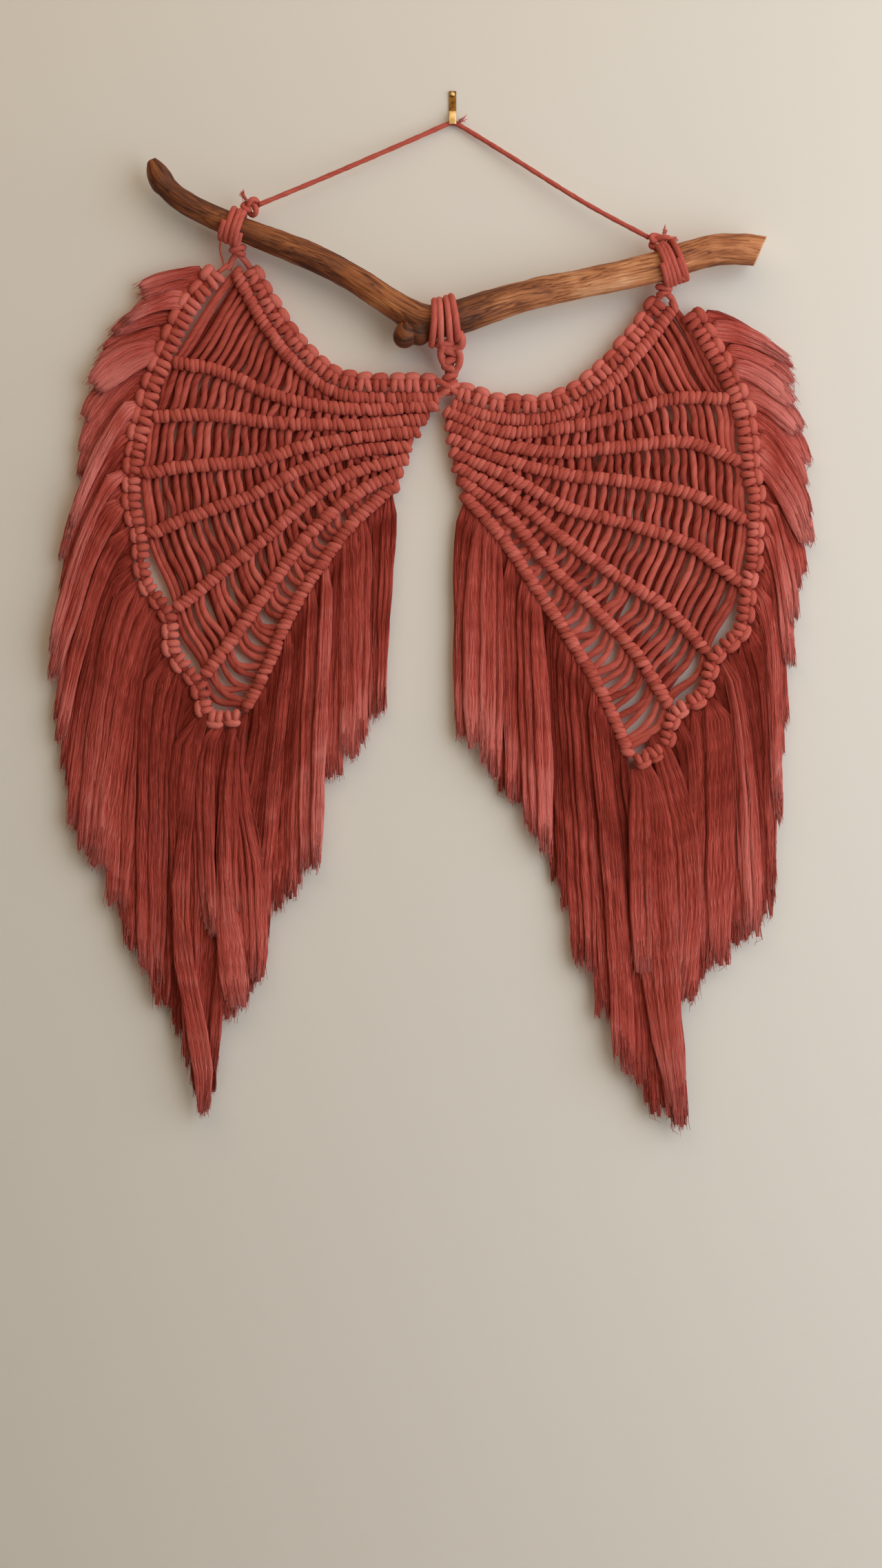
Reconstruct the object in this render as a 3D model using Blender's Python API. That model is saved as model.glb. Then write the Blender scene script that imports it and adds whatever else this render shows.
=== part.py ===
# A pair of macrame angel wings on a bent driftwood branch, hung by a cord over a small brass wall hook.
# Metres, +Z up. The wall is the plane y = 0 and the room is on its -Y side. The origin is the middle of
# the hook's back face. Tables are in millimetres, as x (right) and z (up) on the wall.

from collections import namedtuple
import math

import bpy
import bmesh
from mathutils import Vector

MM = 0.001
GAP = 0.35 * MM                # between pieces that touch

# Cord and knots
CORD = 4.5 * MM                # single-strand cotton cord
RIB_HALF = 4.9 * MM            # half height of a rib of double half hitches
RIB_CREST = 4.9 * MM           # half depth of a rib at a hitch
RIB_DIP = 4.0 * MM             # and between two hitches
STRAND_HALF = 1.9 * MM         # half depth of a strand between two ribs
SINNET_HALF = 5.6 * MM         # half width of a square-knot sinnet
SINNET_DEPTH = 4.6 * MM        # half depth of it
KNOT_PITCH = 11.8 * MM         # along a sinnet
EDGE_PITCH = 12.4 * MM         # along an outer edge's sinnet
KNOT_WAIST = 0.76              # of a sinnet's width, between two knots
CLOTH_DEPTH = 9.0 * MM         # from the wall to the middle of the knotted cloth
OPEN_BAY = 7.0 * MM            # bays between two ribs are cut through where they are wider than this
SHUT_BAY = 1.2 * MM            # and two ribs touch where the bay is narrower than this
ROOT_STRANDS = 8               # strands next to the root, where every bay is too narrow to open
RIB_LEAD = 3.5 * MM            # the first rib's cord, past the end of the neckline sinnet
SEAT = 0.25 * MM               # more room between bars that curve along each other

# Fringe
LOCK_PITCH = 10.2 * MM         # along the hem
STRIP_HALF = 1.5 * MM          # half width of the strip that holds a fringe's roots
FRINGE_NEAR = 3.4 * MM         # the fringe's back, from the wall
FRINGE_FAR = 12.6 * MM         # and its front
FRINGE_LAYERS = 3
RAGGED = 9.0 * MM              # how unevenly the locks are cut
LOCK_DEPTH = 2.4 * MM          # one lock, front to back
ROOT_RUN = 12.0 * MM           # over which a lock leaves its root for its own layer
LOCK_ROOT = 0.42               # half widths of a lock, as a share of the pitch: after its root,
LOCK_MIDDLE = 1.25             # half way down,
LOCK_TIP = 0.62                # and at its tip
SAME_LAYER = 0.42              # and at most this share of the way to the next lock of its layer,
NEXT_LAYER = 0.46              # or, near its root, of any layer
Fall = namedtuple("Fall", "spread hang")     # shares of a lock's length:
OUTER_FALL = Fall(0.13, 0.45)  # how far it sets out from the hem, and how far it hangs in line with its tip
LOWER_FALL = Fall(0.05, 0.55)
LOCK_LEAN = 0.3                # how far it still leans outward there

# Branch
BRANCH_DEPTH = 19.8 * MM       # from the wall to the branch's middle
BRANCH_SIDES = 11
SAWN_LEAN = (0.40, 0.92)       # the sawn end's edge, x and z

# Hook and hanging cord
HOOK_WIDTH = 5.2 * MM
HOOK_THICK = 0.8 * MM
HOOK_TOP = 14.0 * MM
HOOK_FOOT = -11.2 * MM         # height of the middle of the hook's bend
HOOK_BEND = 2.7 * MM           # bend radius at the middle of the strip
HOOK_LIP = -2.0 * MM           # top of the lip
NAIL_HALF = 0.7 * MM
NAIL_HEAD = 1.5 * MM
HANGER = 3.5 * MM              # the hanging cord, pulled thin
HANGER_STEP = 9.6 * MM

Station = namedtuple("Station", "x z radius")
BRANCH = (
    Station(-218, -40, 3.0), Station(-213, -53, 8.0), Station(-203, -64.5, 8.5), Station(-186, -76, 9.0),
    Station(-164, -86, 9.0), Station(-141, -95, 9.5), Station(-117, -104, 10.2), Station(-93, -114, 10.7),
    Station(-72, -126, 10.4), Station(-53, -138, 10.2), Station(-37, -149, 10.6), Station(-21, -158, 12.4),
    Station(-3, -156.5, 13.4), Station(16, -150, 13.2), Station(37, -142.5, 12.6), Station(62, -136, 11.5),
    Station(92, -130, 11.2), Station(122, -124, 11.6), Station(147, -118.5, 11.8), Station(169, -111, 12.0),
    Station(187, -105, 12.4), Station(204, -104.5, 12.2), Station(222, -106.5, 12.0),
)
STUB = (Station(-24, -158, 9.5), Station(-33, -168, 9.2), Station(-37, -172, 6.0))

Neck = namedtuple("Neck", "root_x root_z a_x a_z b_x b_z c_x c_z d_x d_z top_x top_z")
Rib = namedtuple("Rib", "root_x root_z a_x a_z b_x b_z c_x c_z d_x d_z edge_x edge_z bow")
Tip = namedtuple("Tip", "part x z")     # where the fringe ends, by part of the hem's length
Wing = namedtuple("Wing", "side strands neck edge_top hem_room ribs outer_tips lower_tips")
# A rib runs from its root to the outer edge, where the edge sinnet bows out by `bow` in the bay above it.
# `hem_room` is more room between that sinnet and its fringe, in a wing whose scallops are tighter.

LEFT = Wing(
    side=-1,
    strands=24,
    neck=Neck(-10.4, -200, -46, -200, -80, -197, -107, -177, -128, -150, -146.5, -116),
    edge_top=(-170, -119),
    hem_room=-0.3,
    ribs=(
        Rib(-12, -216, -52, -219, -93, -217, -132, -208, -170, -191, -211, -184, 5),
        Rib(-20, -226, -59, -230, -99, -230, -138, -228, -178, -223, -225, -225, 2),
        Rib(-25, -235, -66, -239, -107, -246, -146, -257, -188, -260, -233, -267, 1),
        Rib(-32, -246, -73, -250, -110, -263, -147, -282, -185, -295, -228, -313, 2),
        Rib(-33, -255, -72, -265, -107, -287, -138, -314, -170, -339, -207, -369, 7),
        Rib(-38, -264, -75, -284, -107, -313, -133, -348, -158, -383, -185, -419, 7),
        Rib(-43, -275, -73, -302, -97, -334, -118, -368, -134, -405, -153, -443, 14),
    ),
    outer_tips=(
        Tip(0.00, -228, -136), Tip(0.06, -252, -174), Tip(0.12, -267, -212), Tip(0.19, -275, -250),
        Tip(0.26, -278, -286), Tip(0.34, -285, -336), Tip(0.46, -290, -388), Tip(0.57, -290, -430),
        Tip(0.66, -281, -478), Tip(0.75, -268, -545), Tip(0.83, -246, -585), Tip(0.90, -221, -642),
        Tip(0.95, -198, -685), Tip(1.00, -185, -722),
    ),
    lower_tips=(
        Tip(0.00, -44, -424), Tip(0.10, -56, -443), Tip(0.20, -70, -472), Tip(0.30, -88, -490),
        Tip(0.40, -98, -558), Tip(0.52, -112, -572), Tip(0.64, -131, -598), Tip(0.76, -147, -660),
        Tip(0.88, -167, -684), Tip(1.00, -180, -750),
    ),
)
RIGHT = Wing(
    side=1,
    strands=26,
    neck=Neck(3, -205, 32, -214, 69, -214, 102, -196, 128, -169, 150, -140),
    edge_top=(171, -148),
    hem_room=0.7,
    ribs=(
        Rib(-6, -220, 34, -235, 77, -233, 120, -224, 162, -211, 208, -212, 2),
        Rib(-5, -230, 36, -245, 81, -250, 126, -246, 171, -243, 216, -261, 2),
        Rib(-3, -240, 39, -256, 85, -267, 131, -272, 176, -282, 220, -304, 2),
        Rib(-1, -250, 42, -269, 84, -291, 130, -303, 175, -319, 214, -351, 2),
        Rib(1, -260, 42, -283, 78, -311, 116, -338, 155, -364, 190, -401, 8),
        Rib(5, -270, 41, -298, 70, -332, 103, -364, 134, -398, 161, -441, 8),
        Rib(8, -281, 37, -314, 62, -351, 87, -389, 110, -429, 131, -477, 9),
    ),
    outer_tips=(
        Tip(0.00, 237, -174), Tip(0.06, 247, -198), Tip(0.12, 256, -228), Tip(0.19, 260, -264),
        Tip(0.27, 259, -296), Tip(0.35, 261, -332), Tip(0.43, 255, -362), Tip(0.51, 248, -404),
        Tip(0.58, 244, -447), Tip(0.64, 239, -497), Tip(0.70, 233, -556), Tip(0.76, 224, -594),
        Tip(0.82, 205, -608), Tip(0.88, 188, -628), Tip(0.94, 174, -660), Tip(1.00, 168, -740),
    ),
    lower_tips=(
        Tip(0.00, 2, -448), Tip(0.08, 10, -462), Tip(0.18, 24, -476), Tip(0.28, 39, -494),
        Tip(0.38, 55, -520), Tip(0.48, 72, -556), Tip(0.58, 85, -590), Tip(0.68, 97, -640),
        Tip(0.80, 112, -672), Tip(0.90, 130, -710), Tip(1.00, 160, -752),
    ),
)

Colour = namedtuple("Colour", "red green blue roughness metallic")
COTTON = Colour(0.42, 0.105, 0.085, 0.9, 0.0)
WOOD = Colour(0.27, 0.125, 0.055, 0.7, 0.0)
BRASS = Colour(0.72, 0.50, 0.20, 0.3, 1.0)


# ---- lines on the wall ----

def point(x, z, depth=0.0):
    return Vector((x, -depth, z))


class Path:
    """A smooth line on the wall through a few points, measured along its length."""

    def __init__(self, points, steps=14):
        first = 2 * points[0] - points[1]
        last = 2 * points[-1] - points[-2]
        knots = [first, *points, last]
        self.points = []
        for before, start, end, after in zip(knots, knots[1:], knots[2:], knots[3:]):
            for step in range(steps):
                t = step / steps
                self.points.append(0.5 * (2 * start + (end - before) * t
                                          + (2 * before - 5 * start + 4 * end - after) * t * t
                                          + (3 * start - before - 3 * end + after) * t ** 3))
        self.points.append(points[-1].copy())
        self.measure()

    def measure(self):
        self.along = [0.0]
        for a, b in zip(self.points, self.points[1:]):
            self.along.append(self.along[-1] + (b - a).length)
        self.length = self.along[-1]

    def at(self, distance):
        distance = min(max(distance, 0.0), self.length)
        for i in range(1, len(self.along)):
            if self.along[i] >= distance:
                span = self.along[i] - self.along[i - 1]
                share = (distance - self.along[i - 1]) / span if span else 0.0
                return self.points[i - 1].lerp(self.points[i], share)
        return self.points[-1].copy()

    def heading(self, distance, reach=2 * MM):
        ahead = self.at(distance + reach)
        behind = self.at(distance - reach)
        return (ahead - behind).normalized()

    def normal(self, distance):
        heading = self.heading(distance)
        return Vector((-heading.z, 0, heading.x))

    def nearest(self, spot):
        places = (segment_nearest(spot, a, b) for a, b in zip(self.points, self.points[1:]))
        return min(places, key=lambda place: (spot - place).length)

    def gap_to(self, spot):
        return (spot - self.nearest(spot)).length

    def offset(self, amount, step=4 * MM):
        """A smooth line beside this one, nowhere closer to it than the amount."""
        count = max(4, round(self.length / step))
        spots = []
        for i in range(count + 1):
            distance = self.length * i / count
            spots.append(self.at(distance) + self.normal(distance) * amount)
        kept = [s for s in spots if self.gap_to(s) > abs(amount) * 0.97]
        for _ in range(3):
            middles = [(a + 2 * b + c) / 4 for a, b, c in zip(kept, kept[1:], kept[2:])]
            kept = [kept[0], *middles, kept[-1]]
            kept = [self.pushed(spot, abs(amount)) for spot in kept]
        return Path(kept, steps=2)

    def pushed(self, spot, clear):
        near = self.nearest(spot)
        gap = (spot - near).length
        return spot if gap >= clear else near + (spot - near) * (clear / gap)

    def longer(self, extra):
        return Path([*self.points, self.points[-1] + self.heading(self.length) * extra], steps=1)


def segment_nearest(spot, a, b):
    run = b - a
    share = max(0.0, min(1.0, (spot - a).dot(run) / run.length_squared)) if run.length_squared else 0.0
    return a + run * share


def row_path(row, count):
    """The line through the first `count` pairs of a row of x, z in millimetres."""
    return Path([point(row[2 * i] * MM, row[2 * i + 1] * MM) for i in range(count)])


# ---- solids ----

def material(name, colour):
    made = bpy.data.materials.get(name) or bpy.data.materials.new(name)
    made.use_nodes = True
    shader = made.node_tree.nodes["Principled BSDF"]
    shader.inputs["Base Color"].default_value = (colour.red, colour.green, colour.blue, 1)
    shader.inputs["Roughness"].default_value = colour.roughness
    shader.inputs["Metallic"].default_value = colour.metallic
    return made


def add_object(name, mesh_or_curve, finish, colour):
    obj = bpy.data.objects.new(name, mesh_or_curve)
    bpy.context.scene.collection.objects.link(obj)
    obj.data.materials.append(material(finish, colour))
    return obj


def mesh_from(name, verts, faces, smooth_angle=math.radians(50)):
    mesh = bpy.data.meshes.new(name)
    mesh.from_pydata([tuple(v) for v in verts], [], faces)
    bm = bmesh.new()
    bm.from_mesh(mesh)
    bmesh.ops.triangulate(bm, faces=bm.faces[:])
    bmesh.ops.recalc_face_normals(bm, faces=bm.faces[:])
    bm.to_mesh(mesh)
    bm.free()
    mesh.shade_smooth()
    mesh.set_sharp_from_angle(angle=smooth_angle)
    return mesh


def skin(rings):
    """Vertices and faces of a closed tube through rings of equal count, with flat ends."""
    sides = len(rings[0])
    verts = [v for ring in rings for v in ring]
    faces = []
    for r in range(len(rings) - 1):
        for s in range(sides):
            t = (s + 1) % sides
            faces.append((r * sides + s, r * sides + t, (r + 1) * sides + t, (r + 1) * sides + s))
    faces.append(tuple(range(sides))[::-1])
    faces.append(tuple(range((len(rings) - 1) * sides, len(rings) * sides)))
    return verts, faces


def oval(middle, across, half_width, half_depth, sides, turn=0.0):
    ring = []
    for s in range(sides):
        angle = 2 * math.pi * (s + turn) / sides
        ring.append(middle + across * (math.cos(angle) * half_width)
                    + Vector((0, math.sin(angle) * half_depth, 0)))
    return ring


def fuse(body, *others):
    """Joins other solids to a body, each left as a hidden guide."""
    for other in others:
        other.hide_render = True
        other.display_type = "WIRE"
        union = body.modifiers.new(other.name, "BOOLEAN")
        union.operation = "UNION"
        union.solver = "EXACT"
        union.object = other
    return body


# ---- branch, ties and centre loop ----

def branch_path():
    return Path([point(s.x * MM, s.z * MM) for s in BRANCH], steps=6)


def branch_radius(path, distance):
    marks = path.along[::6]
    for i in range(1, len(marks)):
        if marks[i] >= distance:
            share = (distance - marks[i - 1]) / (marks[i] - marks[i - 1])
            return (BRANCH[i - 1].radius * (1 - share) + BRANCH[i].radius * share) * MM
    return BRANCH[-1].radius * MM


def branch_near(path, x):
    """How far along the branch a place of that x is."""
    best = min(range(len(path.points)), key=lambda i: abs(path.points[i].x - x))
    return path.along[best]


def branch_ring(path, distance, extra=0.0, sides=BRANCH_SIDES):
    radius = branch_radius(path, distance) + extra
    middle = path.at(distance) + Vector((0, -BRANCH_DEPTH, 0))
    return oval(middle, path.normal(distance), radius, radius, sides)


def build_branch():
    path = branch_path()
    rings = []
    for i, station in enumerate(BRANCH):
        distance = path.along[6 * i]
        last = i == len(BRANCH) - 1
        across = Vector((SAWN_LEAN[0], 0, SAWN_LEAN[1])) if last else path.normal(distance)
        middle = path.at(distance) + Vector((0, -BRANCH_DEPTH, 0))
        radius = station.radius * MM
        rings.append(oval(middle, across, radius, radius, BRANCH_SIDES))
    body = add_object("branch", mesh_from("branch", *skin(rings)), "driftwood", WOOD)
    stub_path = Path([point(s.x * MM, s.z * MM) for s in STUB], steps=1)
    stub_rings = []
    for station, distance in zip(STUB, stub_path.along):
        middle = stub_path.at(distance) + Vector((0, -BRANCH_DEPTH, 0))
        stub_rings.append(oval(middle, stub_path.normal(distance), station.radius * MM,
                               station.radius * MM, 9, turn=0.5))
    stub = add_object("branch_stub_shape", mesh_from("stub", *skin(stub_rings)), "driftwood", WOOD)
    fuse(body, stub)


def wrap_band(name, start_x, end_x, turns):
    """Turns of cord round the branch, side by side, as one ridged sleeve."""
    path = branch_path()
    start = branch_near(path, start_x)
    end = branch_near(path, end_x)
    inner_clear = 1.0 * MM
    outer = []
    inner = []
    for i in range(2 * turns + 1):
        distance = start + (end - start) * i / (2 * turns)
        crest = i % 2 == 1
        thick = CORD if crest else CORD * 0.55
        outer.append(branch_ring(path, distance, inner_clear + thick))
        if i in (0, turns, 2 * turns):
            inner.append(branch_ring(path, distance, inner_clear))
    loops = outer + inner[::-1]
    sides = BRANCH_SIDES
    verts = [v for ring in loops for v in ring]
    faces = []
    for r in range(len(loops)):
        n = (r + 1) % len(loops)
        for s in range(sides):
            t = (s + 1) % sides
            faces.append((r * sides + s, r * sides + t, n * sides + t, n * sides + s))
    return add_object(name, mesh_from(name, verts, faces), "cotton", COTTON)


def lump(name, x, z, depth, half_width, half_height, half_depth):
    """A tight knot as a small faceted ball."""
    bm = bmesh.new()
    bmesh.ops.create_icosphere(bm, subdivisions=1, radius=1.0)
    for v in bm.verts:
        v.co = Vector((x * MM + v.co.x * half_width * MM, -depth * MM + v.co.y * half_depth * MM,
                       z * MM + v.co.z * half_height * MM))
    mesh = bpy.data.meshes.new(name)
    bm.to_mesh(mesh)
    bm.free()
    return add_object(name, mesh, "cotton", COTTON)


Bead = namedtuple("Bead", "x z depth half")


def strand(name, beads, sides=6):
    """A short run of cord or knots through beads of given half width."""
    spots = [point(b.x * MM, b.z * MM, b.depth * MM) for b in beads]
    rings = []
    for i, bead in enumerate(beads):
        ahead = spots[min(i + 1, len(spots) - 1)]
        behind = spots[max(i - 1, 0)]
        heading = (ahead - behind).normalized()
        across = heading.cross(Vector((0, 1, 0))).normalized()
        facing = across.cross(heading).normalized()
        ring = []
        for s in range(sides):
            angle = 2 * math.pi * s / sides
            ring.append(spots[i] + (across * math.cos(angle) + facing * math.sin(angle)) * bead.half * MM)
        rings.append(ring)
    return add_object(name, mesh_from(name, *skin(rings)), "cotton", COTTON)


def build_ties():
    left = wrap_band("tie_left", -165 * MM, -150.5 * MM, 3)
    fuse(left,
         lump("tie_left_top_knot", -146, -75, 20, 6.0, 5.4, 5.2),
         strand("tie_left_inner_leg", (Bead(-157, -100.9, 17, 3.2), Bead(-156, -104.5, 17, 4.6),
                                       Bead(-151, -109.5, 10, 2.6), Bead(-147.4, -115.3, 9, 2.6))),
         strand("tie_left_outer_leg", (Bead(-157, -101.5, 15, 3.0), Bead(-158, -105, 14, 2.6),
                                       Bead(-159.6, -110, 9.5, 2.6), Bead(-159.6, -117.1, 9, 2.8))))
    right = wrap_band("tie_right", 149.5 * MM, 168.5 * MM, 4)
    fuse(right,
         lump("tie_right_top_knot", 147, -99, 20, 6.4, 5.0, 5.2),
         strand("tie_right_inner_leg", (Bead(155.2, -130.9, 17.2, 3.2), Bead(154.7, -133.9, 16.8, 4.4),
                                        Bead(151.6, -136, 10, 2.6), Bead(150.4, -138.6, 9, 2.6))),
         strand("tie_right_outer_leg", (Bead(155, -131.2, 15, 3.0), Bead(157, -134, 14, 2.6),
                                        Bead(159.4, -137, 9.5, 2.6), Bead(160.4, -139.9, 9, 2.6))))


def build_centre_loop():
    loop = wrap_band("centre_loop", -14.0 * MM, 4.0 * MM, 4)
    column = strand("centre_loop_column", (
        Bead(-2, -172.6, 18, 5.0), Bead(-1.4, -175.6, 18, 6.2), Bead(-3.2, -178.6, 15.5, 4.6),
        Bead(-1, -182, 13.5, 5.8), Bead(-3, -185.5, 12, 4.2), Bead(-2, -189.5, 11, 5.0),
        Bead(-3.4, -194, 10, 4.0), Bead(-3.9, -199, 9, 6.4), Bead(-3.9, -205.5, 9, 6.3),
        Bead(-3.8, -209.6, 9, 3.4)), sides=7)
    fuse(loop, column)


# ---- knotted cloth ----

def knotted_bar(name, path, start, end, pitch=KNOT_PITCH, sides=6):
    """A sinnet of square knots along part of a line: wide at each knot, narrow between two."""
    knots = max(1, round((end - start) / pitch))
    rings = []
    for i in range(2 * knots + 1):
        distance = start + (end - start) * i / (2 * knots)
        scale = 1.0 if i % 2 else KNOT_WAIST
        middle = path.at(distance) + Vector((0, -CLOTH_DEPTH, 0))
        rings.append(oval(middle, path.normal(distance), SINNET_HALF * scale, SINNET_DEPTH * scale, sides))
    return add_object(name, mesh_from(name, *skin(rings)), "cotton", COTTON)


def edge_path(wing):
    """The outer edge: from its top past the end of each rib, bowed out in every bay."""
    anchors = [point(wing.edge_top[0] * MM, wing.edge_top[1] * MM)]
    anchors += [point(rib.edge_x * MM, rib.edge_z * MM) for rib in wing.ribs]
    spots = [anchors[0]]
    for rib, above, below in zip(wing.ribs, anchors, anchors[1:]):
        run = (below - above).normalized()
        outward = Vector((-run.z, 0, run.x)) * wing.side
        spots += [(above + below) / 2 + outward * rib.bow * MM, below]
    return Path(spots)


def wing_ribs(wing):
    """Every rib's line, the first one beside the neckline, each ending short of the edge sinnet."""
    neck = row_path(wing.neck, 6)
    edge = edge_path(wing)
    side = -wing.side
    first = neck.offset(side * (SINNET_HALF + RIB_HALF + GAP + SEAT)).longer(RIB_LEAD)
    lines = [first] + [row_path(rib, 6) for rib in wing.ribs]
    clear = SINNET_HALF + GAP
    ribs = []
    for line in lines:
        end = line.length
        while end > 0:
            spot = line.at(end)
            across = line.normal(end) * RIB_HALF
            if min(edge.gap_to(spot + across), edge.gap_to(spot - across)) > clear:
                break
            end -= 0.5 * MM
        ribs.append((line, end))
    return ribs


def wing_columns(wing):
    """Where each strand's two sides are, as (strand, side) with the strands in order from the root."""
    return [(strand, side) for strand in range(wing.strands) for side in (0, 1)]


def build_wing(name, wing):
    """Ribs and strands as one pierced sheet, knotted bars raised on both faces."""
    ribs = wing_ribs(wing)
    side = -wing.side
    middles = []
    downs = []
    columns = wing_columns(wing)
    for line, end in ribs:
        step = (end - CORD) / (wing.strands - 1)
        places = [strand * step + side_of * CORD for strand, side_of in columns]
        middles.append([line.at(p) for p in places])
        downs.append([line.normal(p) * side for p in places])

    bays = []          # width of each bay at each column
    for k in range(len(ribs) - 1):
        row = []
        for c in range(len(columns)):
            low = middles[k][c] + downs[k][c] * RIB_HALF
            high = middles[k + 1][c] - downs[k + 1][c] * RIB_HALF
            run = (middles[k + 1][c] - middles[k][c]).normalized()
            row.append((high - low).dot(run))
        bays.append(row)

    verts = []         # (place on the wall, half depth)
    spots = {}

    def spot(key, place, half):
        if key not in spots:
            spots[key] = len(verts)
            verts.append((place, half))
        return spots[key]

    def edge_spot(k, c, row):
        """The upper or lower side of rib k, shared with the next rib where the two touch."""
        bay = k - 1 if row == "top" else k
        if 0 <= bay < len(bays) and bays[bay][c] < SHUT_BAY:
            place = (middles[bay][c] + middles[bay + 1][c]) / 2
            return spot(("shared", bay, c), place, STRAND_HALF)
        sign = -1 if row == "top" else 1
        return spot((k, c, row), middles[k][c] + downs[k][c] * sign * RIB_HALF, STRAND_HALF)

    def crest_spot(k, c):
        half = RIB_CREST if columns[c][1] == 0 else RIB_DIP
        return spot((k, c, "crest"), middles[k][c], half)

    used = [c for c, (strand, side_of) in enumerate(columns) if strand >= ROOT_STRANDS or side_of == 0]
    cells = []
    for a, b in zip(used, used[1:]):
        between = columns[a][1] == 1 and b == a + 1
        for k in range(len(ribs)):
            cells.append((edge_spot(k, a, "top"), edge_spot(k, b, "top"), crest_spot(k, b), crest_spot(k, a)))
            cells.append((crest_spot(k, a), crest_spot(k, b), edge_spot(k, b, "low"), edge_spot(k, a, "low")))
            if k == len(ribs) - 1:
                continue
            if between and min(bays[k][a], bays[k][b]) > OPEN_BAY:
                continue
            cells.append((edge_spot(k, a, "low"), edge_spot(k, b, "low"),
                          edge_spot(k + 1, b, "top"), edge_spot(k + 1, a, "top")))

    count = len(verts)
    front = [place + Vector((0, -CLOTH_DEPTH - half, 0)) for place, half in verts]
    back = [place + Vector((0, -CLOTH_DEPTH + half, 0)) for place, half in verts]
    faces = []
    borders = {}
    for cell in cells:
        ring = [v for i, v in enumerate(cell) if v != cell[i - 1]]
        if len(ring) < 3:
            continue
        faces.append(tuple(ring))
        faces.append(tuple(v + count for v in reversed(ring)))
        for i, v in enumerate(ring):
            w = ring[(i + 1) % len(ring)]
            if (w, v) in borders:
                del borders[(w, v)]
            else:
                borders[(v, w)] = True
    faces += [(w, v, v + count, w + count) for v, w in borders]
    return add_object(name, mesh_from(name, front + back, faces, math.radians(35)), "cotton", COTTON)


# ---- fringe ----

def tip_at(tips, part):
    for a, b in zip(tips, tips[1:]):
        if part <= b.part:
            share = (part - a.part) / (b.part - a.part)
            return point((a.x + (b.x - a.x) * share) * MM, (a.z + (b.z - a.z) * share) * MM)
    return point(tips[-1].x * MM, tips[-1].z * MM)


def lock_line(root, outward, tip, fall):
    """One lock's fall: out from the hem, then down to its tip."""
    reach = (tip - root).length
    lean = Vector(((tip.x - root.x) * LOCK_LEAN, 0, tip.z - root.z)).normalized()
    first = root + outward * reach * fall.spread
    second = tip - lean * reach * fall.hang
    line = []
    for i in range(13):
        t = i / 12
        line.append(root * (1 - t) ** 3 + first * 3 * t * (1 - t) ** 2
                    + second * 3 * t * t * (1 - t) + tip * t ** 3)
    return Path(line, steps=1)


def uneven(i, spread):
    """A fixed, uneven number between -spread and +spread."""
    return spread * math.sin(i * 2.4 + 1.3 * math.sin(i * 0.9))


def build_fringe(name, hem, outward_sign, tips, fall):
    """A strip along the hem with a row of tapered locks, each in one of a few layers."""
    locks = round(hem.length / LOCK_PITCH)
    pitch = hem.length / locks
    lines = []
    for i in range(locks):
        distance = pitch * (i + 0.5)
        outward = hem.normal(distance) * outward_sign
        tip = tip_at(tips, distance / hem.length) + Vector((0, 0, uneven(i, RAGGED)))
        lines.append(lock_line(hem.at(distance) + outward * STRIP_HALF, outward, tip, fall))

    verts = []
    faces = []

    def add(v, depth):
        verts.append(v + Vector((0, -depth, 0)))
        return len(verts) - 1

    def pair(distance, sign):
        """The strip's back and front corner at a place, on its inner or outer side."""
        spot = hem.at(distance) + hem.normal(distance) * outward_sign * STRIP_HALF * sign
        return add(spot, FRINGE_NEAR), add(spot, FRINGE_FAR)

    inner = [pair(pitch * i, -1) for i in range(locks + 1)]
    starts = [pair(pitch * (i + 0.06), 1) for i in range(locks)]
    ends = [pair(pitch * (i + 0.94), 1) for i in range(locks)]
    for i in range(locks):
        (p0, p1), (q0, q1) = inner[i], inner[i + 1]
        (a0, a1), (b0, b1) = starts[i], ends[i]
        faces += [(p0, q0, q1, p1), (p0, a0, b0, q0), (p1, q1, b1, a1)]
        if i + 1 < locks:
            c0, c1 = starts[i + 1]
            faces += [(q0, b0, c0), (q1, c1, b1), (b0, b1, c1, c0)]
        else:
            faces.append((q0, b0, b1, q1))
    faces.append((inner[0][0], inner[0][1], starts[0][1], starts[0][0]))

    for i, line in enumerate(lines):
        middle = FRINGE_NEAR + (FRINGE_FAR - FRINGE_NEAR) * (i % FRINGE_LAYERS + 0.5) / FRINGE_LAYERS
        (a0, a1), (b0, b1) = starts[i], ends[i]
        ring = None
        for part, half in ((ROOT_RUN / line.length, LOCK_ROOT), (0.5, LOCK_MIDDLE), (1.0, LOCK_TIP)):
            spot = line.at(line.length * part)
            width = half * pitch
            for other in (i - FRINGE_LAYERS, i + FRINGE_LAYERS):
                if 0 <= other < locks:
                    width = min(width, SAME_LAYER * lines[other].gap_to(spot))
            for other in (i - 1, i + 1):
                if part < 0.2 and 0 <= other < locks:
                    width = min(width, NEXT_LAYER * lines[other].gap_to(spot))
            across = line.normal(line.length * part) * width
            if across.dot(verts[b0] - verts[a0]) < 0:
                across = -across
            thick = LOCK_DEPTH * (0.5 if part < 1 else 0.3)
            below = (add(spot - across, middle - thick), add(spot + across, middle - thick),
                     add(spot, middle + thick))
            if ring is None:
                left, right, ridge = below
                faces += [(a1, b1, ridge), (a0, a1, ridge, left), (b1, b0, right, ridge), (b0, a0, left, right)]
            else:
                for s in range(3):
                    t = (s + 1) % 3
                    faces.append((ring[s], ring[t], below[t], below[s]))
            ring = below
        faces.append(ring)
    return add_object(name, mesh_from(name, verts, faces, math.radians(30)), "cotton", COTTON)


# ---- hook and hanging cord ----

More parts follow.
